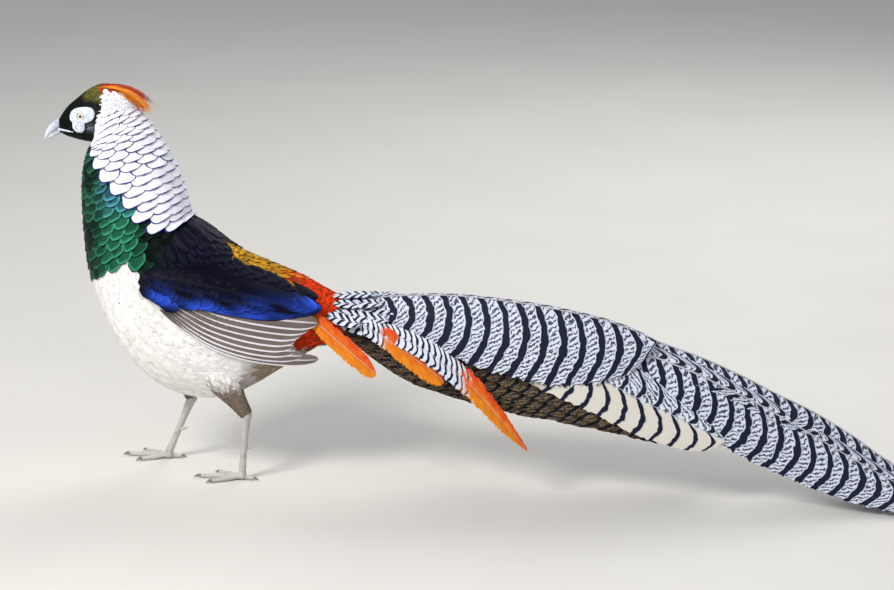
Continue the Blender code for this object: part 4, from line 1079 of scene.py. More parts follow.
def flight_feathers(side):
    """Eight long feathers in a fan, k going from 0 for the lowest to 1 for the highest."""
    sign, k = SIDES[side], np.linspace(0, 1, FLIGHT_COUNT)
    root = np.stack([-38 + 10 * k, 238 + 25 * k], axis=1)
    tip = np.stack([165 - 30 * np.sin(np.pi * k**0.8), 172 + 50 * k**1.05], axis=1)
    lift = np.stack([-4 + 2 * k, -3.6 + 5.4 * k], axis=1)
    sheet = wing_sheet(root, tip, 19 + 5 * k, lift, 19 - 14 * k, sign, (28, 15), (0.12, 0.84), 0.01, 0.5)
    # The lower edge stands off the flank, so the belly's feathers stay under it.
    sheet["points"][..., 1] += sign * 8 * np.clip((206 - sheet["points"][..., 2]) / 30, 0, 1)
    feather_piece("flight_feathers_" + side, atlas([sheet]), flight_material, "wing_feather", "wing_" + side)


print(FLIGHT_COUNT, "flight feathers show on each side")


# %% Blue of the coverts
BLUE_LOW = np.array([(-90, 276), (-60, 250), (0, 236), (32, 229), (144, 230), (178, 238)], float)

# Glossy keratin that shines blue along each feather's curve, painted into the colour as a sheen towards the rim.
blue_material = feather_material("blue_feathers", 0.9, 0.4, 0.25, roughness=0.38, specular_ior_level=0.08)


def wing_blue(x, z):
    """Inner colour: bright blue in a band above the blue part's lower edge, clouded by sines, else blue-black."""
    above = z - np.interp(x, BLUE_LOW[:, 0], BLUE_LOW[:, 1])
    bright = np.exp(-((above - 12) / 12) ** 2) * stepped(x, -66, -30)
    cloud = 0.55 + 0.55 * np.sin(x / 15 + z / 9 + 1.2) * np.sin(z / 8 - x / 33) + 0.2 * np.sin(x / 5 + z / 3)
    bright = np.clip(bright * cloud * rng.uniform(0.6, 1.35, (len(x), 1, 1)), 0, 1)
    return blended(painted("#04061a", x), tint("#2c55d6"), bright)


print("Half way along the wing the blue begins", BLUE_LOW[2, 1], "mm above the floor")

# %% Roots of the coverts
COVERTS_START, COVERTS_HEADING, COVERTS_REACH = np.array((-76.0, 288.0)), math.radians(-15), 166


def covert_roots():
    """Staggered roots over the front and top of the wing, in lines a along it with b up across them."""
    cos, sin = math.cos(COVERTS_HEADING), math.sin(COVERTS_HEADING)
    found, a, k = [], -6.0, 0
    while a < COVERTS_REACH - 6:
        share = (a + 6) / COVERTS_REACH
        pitch, width = 7 + 10 * share, 9.5 + 6.5 * share
        low = -44 + 54 * share**0.8
        high = 16 + 16 * np.sin(np.pi * min(1, share * 1.15)) + 4 * share
        b = np.arange(low + (width / 2 if k % 2 else 0), high, width)
        found.append(np.stack([np.full(len(b), a), b, np.full(len(b), share)], axis=1))
        a, k = a + pitch, k + 1
    found = np.concatenate(found)
    found[:, :2] += rng.uniform(-1, 1, (len(found), 2)) * 1.2
    places = COVERTS_START + found[:, :1] * np.array((cos, sin)) + found[:, 1:2] * np.array((-sin, cos))
    keep = places[:, 0] > np.interp(places[:, 1], (232, 258, 285, 310), (-40, -62, -76, -82))
    return pick(keep, places, found[:, 2], found[:, 1])


print("The coverts' roots reach", COVERTS_REACH, "mm back from the wrist")

# %% Coverts and tertials over the flight feathers
TERTIAL_COUNT = 8


def wing_coverts(side):
    """Long blue-black tertials over the flight feathers, and tiles over both, one piece for a side."""
    sign, k = SIDES[side], np.linspace(0, 1, TERTIAL_COUNT)
    root = np.stack([-34 + 24 * k, 264 + 18 * k], axis=1)
    tip = np.stack([108 + 62 * np.sin(np.pi * (0.12 + 0.7 * k)), 233 + 12 * k], axis=1)
    lift = np.stack([0.8 + 1.5 * k, 2.0 + 3.0 * k], axis=1)
    upper = wing_sheet(root, tip, 20 + 4 * k, lift, 3 - 5 * k, sign, (24, 11), (0.5, 0.74), 0.015)
    coloured(upper, (0, 0, 0), tint("#05071c"), 1.0)
    at, share, b = covert_roots()
    length = (22 + 34 * share) * rng.uniform(0.85, 1.15, len(share))
    way = np.radians(-26 + 16 * share - 0.2 * b + rng.normal(0, 5, len(share)))
    tips = at + length[:, None] * np.stack([np.cos(way), np.sin(way)], axis=1)
    lift = np.stack([-7.0 + 8.0 * np.clip(share * 6, 0, 1), 2.2 + 2.6 * share], axis=1)
    tiles = wing_sheet(at, tips, 15 + 9 * share, lift, 0.06 * length, sign, (11, 9), (0.5, 0.55), 0.03, 0.3)
    coloured(tiles, (0, 0, 0), tint("#04050f"), 0.8)
    for sheet in (upper, tiles):
        sheet["fields"]["base"] = wing_blue(sheet["points"][..., 0], sheet["points"][..., 2])
    feather_piece("wing_coverts_" + side, atlas([upper, tiles]), blue_material, "wing_feather")


for side in SIDES:
    flight_feathers(side)
    wing_coverts(side)

# %% Scapulars, from the mantle over the top of both wings, which hide their upper edge
s, theta = roots(BODY, 11.4, 4.4, ((3, 11), (11, 9)), ((0,), (14.0,)), ((0,), (1.12,)), 21)
s, theta = pick(np.abs(theta) > np.interp(s, (4.4, 8.0, 9.0), (0.5, 0.36, 0.0)), s, theta)
size = np.interp(s, (3, 6, 11.4), (1.25, 1.25, 0.75))
sheet = laid(BODY, s, theta, 44 * size, 19 * size, (-1.0, 4.6), (10, 9), 0.12 * np.sign(theta), 1.0, 0.02)
green = 1 - stepped(surface(BODY, s - 0.8, theta)[:, 0], -62, -20)
coloured(sheet, blended(painted("#050820", s), tint("#06180f"), green), tint("#030510"), 1.4)
feather_piece("scapulars", atlas([sheet]), blue_material, "wing_feather")

# %% [markdown]
# ## Tail feathers as roofs
#
# Each tail feather is a long roof: a shaft with a vane sloping off on each
# side. A flat strip would vanish when seen edge on, and the real vanes do
# stand at an angle. A row holds the shaft's x, y and z, then the left half's
# slope in degrees and its width, then the right half's.

# %% Tables of the long central feathers and the broad one over their root
NEAR_LONG = np.array([
    (190, -3, 232, 20, 8, 0, 8), (260, -8, 237, 42, 32, 10, 12), (350, -11, 239, 54, 50, 20, 14),
    (450, -13, 229, 60, 62, 32, 16), (540, -14, 208, 63, 68, 38, 17), (600, -14, 187, 64, 72, 38, 17),
    (650, -14, 169, 65, 75, 38, 17), (692, -14, 150, 65, 76, 38, 17), (735, -14, 130, 64, 76, 38, 17),
    (778, -14, 107, 62, 72, 40, 16), (820, -15, 84, 58, 66, 40, 16), (869, -16, 57, 49, 56, 38, 15),
    (920, -18, 32, 32, 46, 24, 14), (975, -20, 13, 13, 36, 10, 13), (1040, -22, 3.2, 4, 24, 0, 10),
    (1100, -23, 1.0, 0, 11, 0, 6), (1128, -24, 0.8, 0, 2, 0, 1.5),
], float)
FAR_LONG = np.array([
    (190, 4, 230, 5, 8, -20, 8), (260, 8, 234, 20, 18, -30, 28), (350, 11, 238, 30, 28, -38, 46),
    (450, 12, 233, 36, 36, -44, 54), (540, 12, 219, 38, 42, -46, 58), (600, 12, 201, 39, 44, -46, 60),
    (660, 12, 181, 39, 44, -45, 60), (710, 12, 160, 39, 44, -44, 60), (755, 12, 138, 40, 44, -42, 58),
    (805, 12, 115, 43, 42, -38, 54), (858, 12, 84, 46, 38, -30, 48), (916, 12, 44, 36, 30, -16, 40),
    (970, 12, 18, 16, 24, -8, 32), (1030, 11, 5, 4, 16, -2, 22), (1095, 9, 1.0, 0, 10, 0, 11),
    (1140, 8, 0.8, 0, 2, 0, 2),
], float)
TOP_COVERT = np.array([
    (188, -4, 230, 30, 8, -10, 8), (230, -7, 247, 50, 38, -12, 18), (280, -8, 254, 55, 66, -12, 25),
    (340, -8, 256, 57, 84, -12, 30), (400, -8, 252, 59, 96, -12, 32), (450, -9, 247, 60, 101, -12, 32),
    (500, -10, 239, 61, 95, -12, 31), (545, -10, 229, 61, 76, -12, 28), (580, -10, 217, 60, 46, -12, 18),
    (602, -10, 208, 60, 5, -12, 3),
], float)
print("The longest feather reaches x =", FAR_LONG[-1, 0], "mm")

# %% Tables of the side feathers, from the top one down, and of the tipped coverts
SIDE_FEATHERS = [np.array(rows, float) for rows in (
    [(192, -8, 224, 50, 8, 45, 6), (280, -22, 218, 62, 30, 52, 20), (405, -33, 208, 66, 44, 60, 28),
     (484, -41, 184, 68, 48, 62, 36), (537, -44, 162, 70, 48, 63, 40), (589, -45, 137, 70, 46, 64, 38),
     (640, -45, 114, 70, 38, 64, 30), (675, -45, 98, 70, 22, 64, 16), (694, -45, 89, 70, 3, 64, 3)],
    [(192, -8, 218, 55, 6, 55, 5), (280, -22, 194, 68, 24, 60, 14), (380, -31, 168, 70, 30, 62, 18),
     (480, -36, 137, 72, 28, 64, 18), (550, -38, 108, 72, 18, 64, 12), (585, -38, 92, 72, 3, 64, 2)],
    [(192, -8, 213, 60, 6, 60, 5), (260, -19, 190, 70, 22, 62, 12), (340, -26, 162, 72, 28, 64, 14),
     (430, -30, 130, 74, 24, 66, 12), (492, -31, 105, 74, 3, 66, 2)],
    [(192, -8, 208, 62, 6, 60, 5), (250, -16, 184, 72, 20, 64, 10), (310, -21, 158, 74, 24, 66, 12),
     (370, -23, 134, 74, 18, 66, 10), (412, -23, 115, 74, 3, 66, 2)],
    [(192, -8, 203, 64, 6, 60, 5), (235, -12, 182, 72, 16, 64, 8), (280, -15, 160, 74, 20, 66, 10),
     (318, -16, 140, 74, 12, 66, 6), (337, -16, 131, 74, 3, 66, 2)],
)]
TIPPED = [np.array(rows, float) for rows in (
    [(146, -33, 233, 78, 9, 78, 9), (172, -42, 214, 80, 16, 80, 15), (202, -48, 191, 80, 17, 80, 16),
     (228, -51, 171, 80, 15, 80, 14), (238, -52, 163, 80, 9, 80, 8), (243, -52, 159, 80, 2, 80, 2)],
    [(192, -16, 228, 70, 7, 70, 7), (244, -46, 212, 78, 14, 78, 14), (280, -54, 192, 80, 18, 80, 18),
     (310, -58, 173, 80, 18, 80, 17), (326, -60, 161, 80, 11, 80, 11), (333, -60, 155, 80, 2, 80, 2)],
    [(194, -12, 220, 70, 6, 70, 6), (290, -58, 205, 76, 14, 76, 14), (362, -68, 160, 78, 19, 78, 19),
     (410, -66, 108, 78, 14, 78, 14), (442, -60, 68, 78, 2, 78, 2)],
)]
print(len(SIDE_FEATHERS), "side feathers and", len(TIPPED), "tipped coverts are given for the left side")

# %% One tail feather
LOWEST = 0.15  # the vanes stay this far above the floor
shafts = []


def tail_sheet(rows, steps, shaft_radius, cols=17, raise_by=0.0, frayed=0.035):
    """Point = shaft + share * width * slope direction, bowed out by 0.06 * 4a(1-a) width, a being |share|.

    It also notes the shaft's path and radius for the piece that holds all shafts.
    """
    line = rows_at(rows, np.linspace(0, len(rows) - 1, steps))
    shaft = line[:, 0:3] + np.array((0, 0, raise_by))
    shafts.append((shaft, shaft_radius))
    run = np.concatenate([[0], np.cumsum(np.linalg.norm(np.diff(shaft, axis=0), axis=1))])
    share = np.linspace(-1, 1, cols)[None, :]
    left = share < 0
    notch = 1 + frayed * (rng.uniform(-1, 1, (steps, cols)) * np.abs(share) ** 4)
    width = np.where(left, line[:, 4:5], line[:, 6:7]) * notch
    slope = np.radians(np.where(left, line[:, 3:4] + 180, line[:, 5:6]))
    reach = np.abs(share) * width
    lift = 0.06 * 4 * np.abs(share) * (1 - np.abs(share)) * width * np.where(left, -1.0, 1.0)
    y = np.cos(slope) * reach - np.sin(slope) * lift
    z = np.maximum(shaft[:, 2:3] + np.sin(slope) * reach + np.cos(slope) * lift, LOWEST)
    points = stacked(shaft[:, 0:1], shaft[:, 1:2] + y, z)
    part = (run / run[-1])[:, None]
    fields = {"run": run[None, :, None], "across": share[None], "wide": (np.sign(share) * reach)[None],
              "tone": rng.uniform(-1, 1, (1, 1, 1)), "along": part[None], "barb": (run[:, None] - reach * 1.1)[None]}
    own = stacked(0.01 + 0.98 * part, 0.5 + 0.47 * share)[None]
    return {"points": points[None], "fields": fields, "own": own}


print("The near long feather is", round(float(np.hypot(*np.diff(NEAR_LONG[[0, -1]][:, (0, 2)], axis=0)[0]))), "mm long")

# %% Feathers of the far side, between two others, and in the baked map
FAR_SIDE_TILT = 14.0


def mirrored(rows):
    """A left-side tail feather's rows for the far side, where the roof of feathers lies flatter."""
    far = rows[:, (0, 1, 2, 5, 6, 3, 4)]
    flat = np.clip((rows[:, 0] - 190) / 200, 0, 1)
    far[:, 1] = -far[:, 1]
    far[:, 2] -= 10 * flat
    far[:, (3, 5)] = -(far[:, (3, 5)] - FAR_SIDE_TILT * flat[:, None])
    return far


def between(a, b, share):
    """A feather whose rows lie between those of two others, both read at nine places."""
    k = np.linspace(0, 1, 9)
    return rows_at(a, k * (len(a) - 1)) * (1 - share) + rows_at(b, k * (len(b) - 1)) * share


def strips(sheets):
    """One long strip of the baked map to each tail feather."""
    for k, sheet in enumerate(sheets):
        sheet["bake"] = (sheet["own"] + np.array((0, k))) / np.array((1, len(sheets)))
    return sheets


print("On the far side the vanes lie", FAR_SIDE_TILT, "degrees flatter")


# %% [markdown]
# ## Bars and wavy lines
#
# The silver feathers carry black bars that bend along the vane, and fine wavy
# lines between them. A drawn picture would stretch along the curve, so the
# bars are worked out in nodes from each point's distance along the shaft and
# across the vane. The bars of the long and broad feathers are 24 or 25 mm
# apart, as on the real bird. Those of the small ones, 9 to 17 mm, and the wavy
# lines, 5.6 mm, were set.

# %% Places of the bars
LINE_PITCH = 5.6


def bar_places(add, run, across, tone, wander, period, bulge, trail):
    """bent = run - bulge 4a(1-a) + trail a^2 + noise, a being the share of the way from shaft to edge.

    part is what bent / period + tone has beyond a whole number, and gap is how far part lies from a half.
    """
    a = add("Math", across, operation="ABSOLUTE")
    hump = add("Math", a, add("Math", 1.0, a, operation="SUBTRACT"), operation="MULTIPLY")
    sweep = add("Math", add("Math", a, a, operation="MULTIPLY"), trail, operation="MULTIPLY")
    bent = add("Math", hump, -4 * bulge, run, operation="MULTIPLY_ADD")
    wander = add("Math", wander, 9.0, -4.5, operation="MULTIPLY_ADD")
    bent = add("Math", bent, add("Math", sweep, wander, operation="ADD"), operation="ADD")
    start = add("Math", bent, 1 / period, add("Math", tone, 2.0, operation="ADD"), operation="MULTIPLY_ADD")
    part = add("Math", start, operation="FRACT")
    gap = add("Math", add("Math", part, 0.5, operation="SUBTRACT"), operation="ABSOLUTE")
    return bent, part, gap


def wavy_lines(add, bent, wide, ripple, zigzag, fine):
    """Smooth step of sin(2 pi (0.62 bent + 0.78 |wide|) / 5.6 + noise), times 0.92 fine."""
    drift = add("Math", ripple, 9.0, add("Math", zigzag, 5.0, -7.0, operation="MULTIPLY_ADD"),
                operation="MULTIPLY_ADD")
    outwards = add("Math", add("Math", wide, operation="ABSOLUTE"), 0.78, operation="MULTIPLY")
    slanting = add("Math", bent, 0.62, outwards, operation="MULTIPLY_ADD")
    wave = add("Math", slanting, 2 * math.pi / LINE_PITCH, drift, operation="MULTIPLY_ADD")
    return add("MapRange", add("Math", wave, operation="SINE"), 0.05, 0.4, 0, 0.92 * fine, **SMOOTH)


print("A wavy line every", LINE_PITCH, "mm")

# %% Orange tips
TIP_ORANGE, DARK_RED = "#ee8f1c", "#a52c08"


def orange_tip(add, colour, across, along, barb, ripple, red):
    """Orange from the share begins to the tip, redder on one side, with dark red streaks along the barbs."""
    begins = add("Attribute", out="Fac", attribute_name="begins")
    uneven = add("Math", add("Math", ripple, 0.25, -0.125, operation="MULTIPLY_ADD"), begins, operation="SUBTRACT")
    in_tip = add("MapRange", add("Math", along, uneven, operation="ADD"), 0.0, 0.1, **SMOOTH)
    aside = add("Math", ripple, 3.0, add("Math", across, 1.5, operation="SUBTRACT"), operation="MULTIPLY_ADD")
    aside = add("MapRange", aside, -1.2, 1.2, **SMOOTH)
    tip = add("Mix", aside, sockets={6: TIP_ORANGE, 7: red}, **COLOUR)
    colour = add("Mix", in_tip, sockets={6: colour, 7: tip}, **COLOUR)
    streak = add("CombineXYZ", add("Math", barb, 0.5, operation="MULTIPLY"), across)
    streak = add("TexNoise", streak, sockets={"Scale": 1.0, "Detail": 3})
    streak = add("MapRange", streak, 0.5, 0.75, 0, 0.4, **SMOOTH)
    streak = add("Math", streak, in_tip, operation="MULTIPLY")
    return add("Mix", streak, sockets={6: colour, 7: DARK_RED}, **COLOUR)


print("The tips go from", TIP_ORANGE, "to a red, with streaks of", DARK_RED)

# %% Barred feather material
BAR_SHEEN = "#4a7396"


def barred_material(name, period, bar, ground="#e3e7f2", cloud="#cfd6e6", ink="#10122e", fine=1.0,
                    plain_left=False, bulge=7.0, trail=10.0, tip_colour=None, mottled=0.0):
    """Bars where gap < bar / period / 2, and wavy lines between them that fade out beside each bar.

    Firm keratin with little shine, so that black and white keep their full depth. The black is a deep
    blue, and a narrow blue sheen follows each bar as on the real vane.
    """
    made, add, shader = new_material(name, roughness=0.55, specular_ior_level=0.18)
    keys = ("run", "across", "wide", "tone", "along", "barb")
    run, across, wide, tone, along, barb = (add("Attribute", out="Fac", attribute_name=key) for key in keys)
    # Places on the feather in units of 100 mm, moved by tone so that no two feathers share their noise.
    spot = add("CombineXYZ", *(add("Math", v, k, operation="MULTIPLY") for v, k in
                               ((run, 0.01), (wide, 0.01), (tone, 7.0))))
    # Lumps of 11, 8, 3, 3, 7 and 2 mm.
    lumps = ((9, 3), (12, 3), (34, 1), (30, 2), (14, 2), (45, 3))
    wander, ripple, zigzag, breaks, clouds, spots = (
        add("TexNoise", spot, sockets={"Scale": scale, "Detail": detail}) for scale, detail in lumps)
    bent, part, gap = bar_places(add, run, across, tone, wander, period, bulge, trail)
    half = bar / period / 2
    in_bar = add("MapRange", gap, half, half + 0.035, 1, 0, **SMOOTH)

    lines = wavy_lines(add, bent, wide, ripple, zigzag, fine)
    limits = [add("MapRange", gap, half + 0.05, half + 0.1, **SMOOTH), add("MapRange", breaks, 0.3, 0.4, **SMOOTH)]
    colour = add("Mix", clouds, sockets={6: ground, 7: cloud}, **COLOUR)
    if plain_left:
        right = add("MapRange", across, -0.08, 0.02, **SMOOTH)
        limits.append(right)
        # The plain vane is cream, painted dark from its root to nearly half way as the shadow of the feathers over it.
        pale = add("MapRange", along, 0.44, 0.54, **SMOOTH)
        shadowed_cream = add("Mix", pale, sockets={6: "#241d18", 7: "#ddd7cc"}, **COLOUR)
        colour = add("Mix", right, sockets={6: shadowed_cream, 7: colour}, **COLOUR)
    for limit in limits:
        lines = add("Math", lines, limit, operation="MULTIPLY")
    if mottled:
        spots = add("MapRange", spots, 0.5, 0.58, 0, mottled, **SMOOTH)
        colour = add("Mix", spots, sockets={6: colour, 7: "#2a221b"}, **COLOUR)
    behind_bar = add("MapRange", part, 0.5 + half, 0.6 + half, 0.6, 0, **SMOOTH)
    sheen = add("Math", behind_bar, add("MapRange", part, 0.5, 0.5 + half, **SMOOTH), operation="MULTIPLY")
    for share, ink_or_sheen in ((lines, ink), (sheen, BAR_SHEEN), (in_bar, ink)):
        colour = add("Mix", share, sockets={6: colour, 7: ink_or_sheen}, **COLOUR)
    if tip_colour:
        colour = orange_tip(add, colour, across, along, barb, ripple, tip_colour)
    colour, ridges = barbed(add, colour, 1.1, 0.16, 800)
    wire(shader, colour, ridges, 0.0003, 0.5)
    return made


print("The bars of the longest feathers take up", round(8.0 / 24.0, 2), "of their pitch")

# %% Long and broad tail feathers
bold = barred_material("barred_covert", 25.0, 8.5, bulge=15.0, trail=7.0)
top = tail_sheet(TOP_COVERT, 110, 1.1, cols=25, raise_by=0.3)
feather_piece("tail_top_covert", strips([top]), bold, "tail_feather", "tail")
long_bars = barred_material("barred_long", 24.0, 8.0, bulge=13.0, trail=14.0)
sheets = [tail_sheet(rows, 200, 1.6, cols=25) for rows in (NEAR_LONG, FAR_LONG)]
feather_piece("tail_long_feathers", strips(sheets), long_bars, "tail_feather")

# %% Side and lower feathers, each with its like on the far side
lateral = barred_material("barred_lateral", 25.0, 5.4, plain_left=True, bulge=11.0, trail=4.0)
rows = SIDE_FEATHERS[0]
sheets = [tail_sheet(own, 110, 0.8) for own in (rows, mirrored(rows))]
feather_piece("tail_side_feathers", strips(sheets), lateral, "tail_feather")
brown = barred_material("mottled_lateral", 17.0, 5.0, "#7c6850", "#7c6850", "#120e0c", fine=0.8, mottled=0.95)
lower = [between(a, b, share) for a, b in zip(SIDE_FEATHERS, SIDE_FEATHERS[1:]) for share in (0.45, 1.0)]
sheets = [tail_sheet(own, 70, 0.6) for rows in lower for own in (rows, mirrored(rows))]
feather_piece("tail_lower_feathers", strips(sheets), brown, "tail_feather")

# %% Orange-tipped coverts beside the tail
TIP_BEGINS = (-0.2, 0.38, 0.56)  # share of the length at which the orange starts, all of the first feather
orange = barred_material("tipped_covert", 9.0, 3.0, fine=0.0, bulge=2.0, trail=4.0, tip_colour="#dc4a10")
sheets = []
for rows, begins in zip(TIPPED, TIP_BEGINS):
    far = mirrored(rows)
    far[3:, 2] += 22
    for own in (rows, far):
        sheet = tail_sheet(own, 150, 0.5, cols=21, frayed=0.12)
        sheet["fields"]["begins"] = np.full((1, 1, 1), begins)
        sheets.append(sheet)
feather_piece("tail_tipped_coverts", strips(sheets), orange, "tail_feather")

# %% Small barred coverts over the tail's root
ROOT_COVERTS = 22
small_bars = barred_material("barred_small", 11.0, 4.4, fine=0.0, bulge=-3.0, trail=8.0)
sheets = []
for k in range(ROOT_COVERTS):
    station, turn = 1.4 + 1.1 * ((k * 7) % 11) / 11, (-1) ** k * (0.12 + 1.3 * (k // 2) / 10)
    size = rng.uniform(50, 108) * (1.0 - 0.25 * abs(turn))
    stray = rng.normal(0, 0.09)
    steps = np.linspace(0, 1, 5)[:, None]
    out = math.sin(turn)
    path = surface(BODY, station, turn) + steps * np.array((size, (out * 0.16 + stray) * size, 3 - 10 * abs(turn)))
    path = path + np.array((0, out * 5, 5 * math.cos(turn))) * np.sin(np.pi * steps * 0.6)
    width = np.array((3, 8, 9, 8, 1.5))[:, None] * rng.uniform(0.8, 1.15)
    lean = math.degrees(abs(turn)) * 0.75
    slopes = (lean + 8, lean) if turn < 0 else (22 - lean, -lean)
    columns = [path, np.full((5, 1), slopes[0]), width, np.full((5, 1), slopes[1]), width]
    sheets.append(tail_sheet(np.concatenate(columns, axis=1), 40, 0.4, cols=11, frayed=0.08))
feather_piece("tail_root_coverts", strips(sheets), small_bars, "tail_feather")

# %% Shafts of all tail feathers
# Solid keratin rods: smoother than the vanes, pale with grey clouds 11 mm long.
rod, add, shader = new_material("feather_shaft", roughness=0.4)
cloud = add("TexNoise", add("TexCoord", out="Object"), sockets={"Scale": 90})
wire(shader, add("Mix", cloud, sockets={6: "#c9c6cc", 7: "#8d8a94"}, **COLOUR))
parts = []
for path, radius in shafts:
    size = np.linspace(1, 0.25, len(path)) * radius
    lifted = path + np.array((0, 0, 1)) * (size * 0.2)[:, None]
    lifted[:, 2] = np.maximum(lifted[:, 2], size + 0.1)
    parts.append(tube(lifted, size, 8))
place(build("tail_shafts", *joined(parts), rod), "tail_feather")

# %% [markdown]
# ## Legs
#
# The shanks and toes are bare, covered in overlapping horny scutes, and each
# toe ends in a claw. Scutes could be modelled one by one. At this size a
# radius that swells in a saw-tooth gives their steps, and small cells in the
# material give their edges.

# %% Leg and claw horn
TOES = {"middle": (2, 55, 3.6), "inner": (-27, 38, 3.3), "outer": (30, 42, 3.3), "hind": (172, 17, 2.8)}
CLAW_LENGTH = {"middle": 10.0, "inner": 8.0, "outer": 8.0, "hind": 6.5}
SCUTE_PITCH, TOE_SCUTE_PITCH, SCUTE_STEP = 4.2, 3.0, 0.07

# Horny skin: satin, in cells 1.6 mm wide with dark cracks, stained in patches of 9 mm.
leg_material, add, shader = new_material("leg_scales", roughness=0.5)
spot = add("TexCoord", out="Object")
cells = add("TexVoronoi", spot, sockets={"Scale": 640.0}, out="Distance", feature="DISTANCE_TO_EDGE")
crack = add("MapRange", cells, 0.0, 0.1, **SMOOTH)
cloud, stain = (add("TexNoise", spot, sockets={"Scale": s, "Detail": d}) for s, d in ((60, 3), (110, 4)))
colour = add("Mix", cloud, sockets={6: "#b5b1ab", 7: "#cdcac5"}, **COLOUR)
colour = add("Mix", crack, sockets={6: "#a19c96", 7: colour}, **COLOUR)
stain = add("MapRange", stain, 0.55, 0.75, 0, 0.5, **SMOOTH)
wire(shader, add("Mix", stain, sockets={6: colour, 7: "#8c8278"}, **COLOUR), crack, 0.0003, 0.5)

# Solid horn: darker and smoother than the scales, with growth marks about 1 mm apart.
claw_material, add, shader = new_material("claw_horn", roughness=0.3)
spot = add("TexCoord", out="Object")
cloud, marks = (add("TexNoise", spot, sockets={"Scale": s, "Detail": d}) for s, d in ((300, 3), (900, 2)))
wire(shader, add("Mix", cloud, sockets={6: "#4c453f", 7: "#8c837a"}, **COLOUR), marks, 0.0001, 0.3)
print("A shank has about", round(80 / SCUTE_PITCH), "scutes down its front")


# %% Paths, scutes and the floor
def along_floor(start, heading, length, heights):
    """A path over the floor from start in a direction, at the heights given."""
    steps = np.linspace(0, length, len(heights))
    return np.stack([start[0] + math.cos(heading) * steps, start[1] + math.sin(heading) * steps, heights], axis=1)


def smooth_path(path, radii, count):
    """Reads a path and its radii at count places by the same curve as the tables."""
    table = np.concatenate([np.asarray(path, float), np.asarray(radii, float)[:, None]], axis=1)
    fine = rows_at(table, np.linspace(0, len(table) - 1, count))
    return fine[:, :3], fine[:, 3]


def scutes(radii, length, pitch):
    """Radius swelling in a saw-tooth, r (1 + 0.07 (part of run / pitch - 0.5)), so that scutes overlap."""
    run = np.linspace(0, length, len(radii))
    return radii * (1 + SCUTE_STEP * ((run / pitch) % 1.0 - 0.5))


def grounded(points, faces):
    """Flattens what would reach below the floor."""
    points[:, 2] = np.maximum(points[:, 2], 0.02)
    return points, faces


print("The longest claw is", max(CLAW_LENGTH.values()), "mm long")


# %% A foot
def foot(side):
    """Four toes with pads, each with its claw, and the instep they spring from."""
    sign, (foot_x, y) = SIDES[side], LEGS[side]["foot"]
    toes = []
    for toe, (degrees, length, radius) in TOES.items():
        heading = math.radians(180 - sign * degrees)
        path = along_floor((foot_x, y), heading, length, (5.5, 4.0, 3.6, 3.0, 3.0))
        path, radii = smooth_path(path, np.array((1.25, 0.95, 1.12, 0.92, 0.85)) * radius, 60)
        pads = 1 + 0.06 * np.sin(np.linspace(0, 3.2 * 2 * np.pi, 60))
        toes.append(grounded(*tube(path, scutes(radii * pads, length, TOE_SCUTE_PITCH) * 0.97, 20, 0.97)))
        begin = path[-1, :2] + 0.1 * np.array((math.cos(heading), math.sin(heading)))
        claw = along_floor(begin, heading, CLAW_LENGTH[toe], (3.0, 3.6, 2.5, 1.0))
        claw, size = smooth_path(claw, np.array((0.66, 0.52, 0.34, 0.1)) * radius, 24)
        piece = build(f"claw_horn_{side}_{toe}", *grounded(*tube(claw, size, 16)), claw_material)
        place(piece, "horn", f"claw_{side}_{toe}")
    instep, size = smooth_path([(foot_x, y, 1.5), (foot_x, y, 5), (foot_x + 0.5, y, 11)], (5.4, 6.6, 4.9), 16)
    toes.append(grounded(*tube(instep, size, 24)))
    place(build("foot_scales_" + side, *joined(toes), leg_material), "leg_scales", "foot_" + side)


print("Each foot has", len(TOES), "toes with claws")


# %% A shank
def shank(side):
    """The bare shank with its scutes, the hock's knob on top and the spur behind."""
    sign, (foot_x, y), (hock_x, hock_z) = SIDES[side], LEGS[side]["foot"], LEGS[side]["hock"]
    low, high = np.array((foot_x + 0.5, y, 10.0)), np.array((hock_x, y, hock_z), float)
    path = low + (high - low) * np.linspace(-0.04, 1, 8)[:, None]
    path, radii = smooth_path(path, (5.0, 5.0, 4.4, 4.3, 4.5, 4.9, 5.8, 6.2), 110)
    parts = [tube(path, scutes(radii, np.linalg.norm(high - low), SCUTE_PITCH), 28)]
    knob, size = smooth_path([high + (0, 0, up) for up in (-7, -3, 3, 6.8)], (4.5, 6.8, 6.6, 1.5), 24)
    parts.append(tube(knob, size, 24))
    root = low + (high - low) * 0.42
    spur, size = smooth_path([root, root + (7, -sign * 2, 1), root + (14, -sign * 4, 3.5)], (3.2, 2.3, 0.4), 16)
    parts.append(tube(spur, size, 14))
    place(build("shank_scales_" + side, *joined(parts), leg_material), "leg_scales", "shank_" + side)


print("The near hock is", LEGS["left"]["hock"][1], "mm above the floor")


# %% [markdown]
# ## Thigh feathers
#
# Short feathers cover the thighs, white above and grey-brown below, and end
# raggedly at the hock. They could be laid like those of the body, but a thigh
# is a slanting tube of its own, so rings of roots run down its path and each
# feather lies down along it.

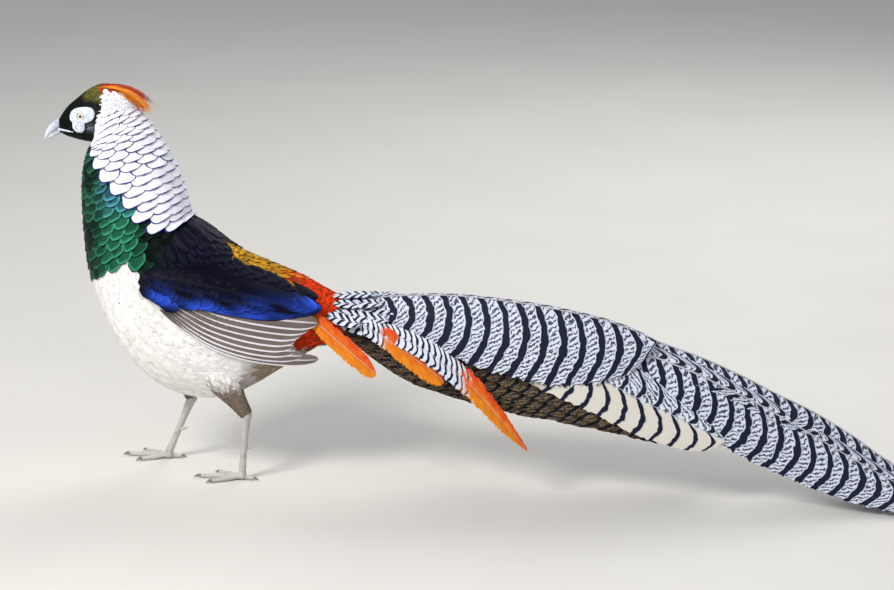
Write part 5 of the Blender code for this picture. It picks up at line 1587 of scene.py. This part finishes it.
# %% Thighs
RING_COUNT, PER_RING, STEP = 22, 36, 3.4  # STEP is the millimetres from one point of the thigh's path to the next


def thigh(side):
    """Point = path at (k + t L / step) + girth (1.2 cos(angle) fore + sin(angle) across)."""
    path, radii = thigh_path(side)
    way = path[-1] - path[0]
    way /= np.linalg.norm(way)
    fore = np.array((way[2], 0, -way[0]))
    k = np.repeat(np.arange(RING_COUNT), PER_RING)
    count = len(k)
    turn = np.tile(np.arange(PER_RING), RING_COUNT) / PER_RING * 2 * np.pi + (k % 2) * np.pi / PER_RING
    turn += rng.normal(0, 0.05, count)
    t, u = vane_grid(7, 5, 1.3)
    length = each(np.interp(k, (5, 21), (17, 10)) * rng.uniform(0.7, 1.2, count))
    half = outline(t, 0.5, 0.3) * each(np.interp(k, (5, 21), (3.2, 2.0)))
    lift = -1.8 + 2.6 * t - 1.3 * (1 - each(stepped(k, 0, 7)))
    end = each(len(path) - 1 - rng.uniform(0, 0.9, count))
    down = np.minimum(each(k) + t * length / STEP, end)
    places = np.arange(len(path))
    centre = np.stack([np.interp(down, places, path[:, c]) for c in range(3)], axis=-1)
    girth = np.interp(down, places, radii) + lift
    angle = each(turn) + u * half / np.maximum(girth, 5)
    points = centre + (np.cos(angle) * girth * 1.2)[..., None] * fore
    points = points + (np.sin(angle) * girth)[..., None] * np.array((0, 1, 0))
    inner = blended(painted("#8b7b6c", k), tint("#4a3f37"), rng.uniform(0, 1, count) * 0.5)
    upper = stepped(points[:, 3, 2, 2] + rng.normal(0, 5, count), 122, 150)
    inner = blended(inner, tint("#f4f2ee"), upper)
    fields = vane_fields(t, u, half, length, 1.0)
    own = stacked(each(turn / (2 * np.pi)) % 1 + 0.0015 * u, each(k / 24) + 0.003 * t)
    sheet = {"points": points, "fields": fields, "bake": own}
    coloured(sheet, inner, inner * (0.78 + 0.2 * upper[:, None]), 0.5 - 0.4 * upper)
    feather_piece("thigh_feathers_" + side, [sheet], soft_feathers, "thigh_feather")


for side in LEGS:
    foot(side)
    shank(side)
    thigh(side)
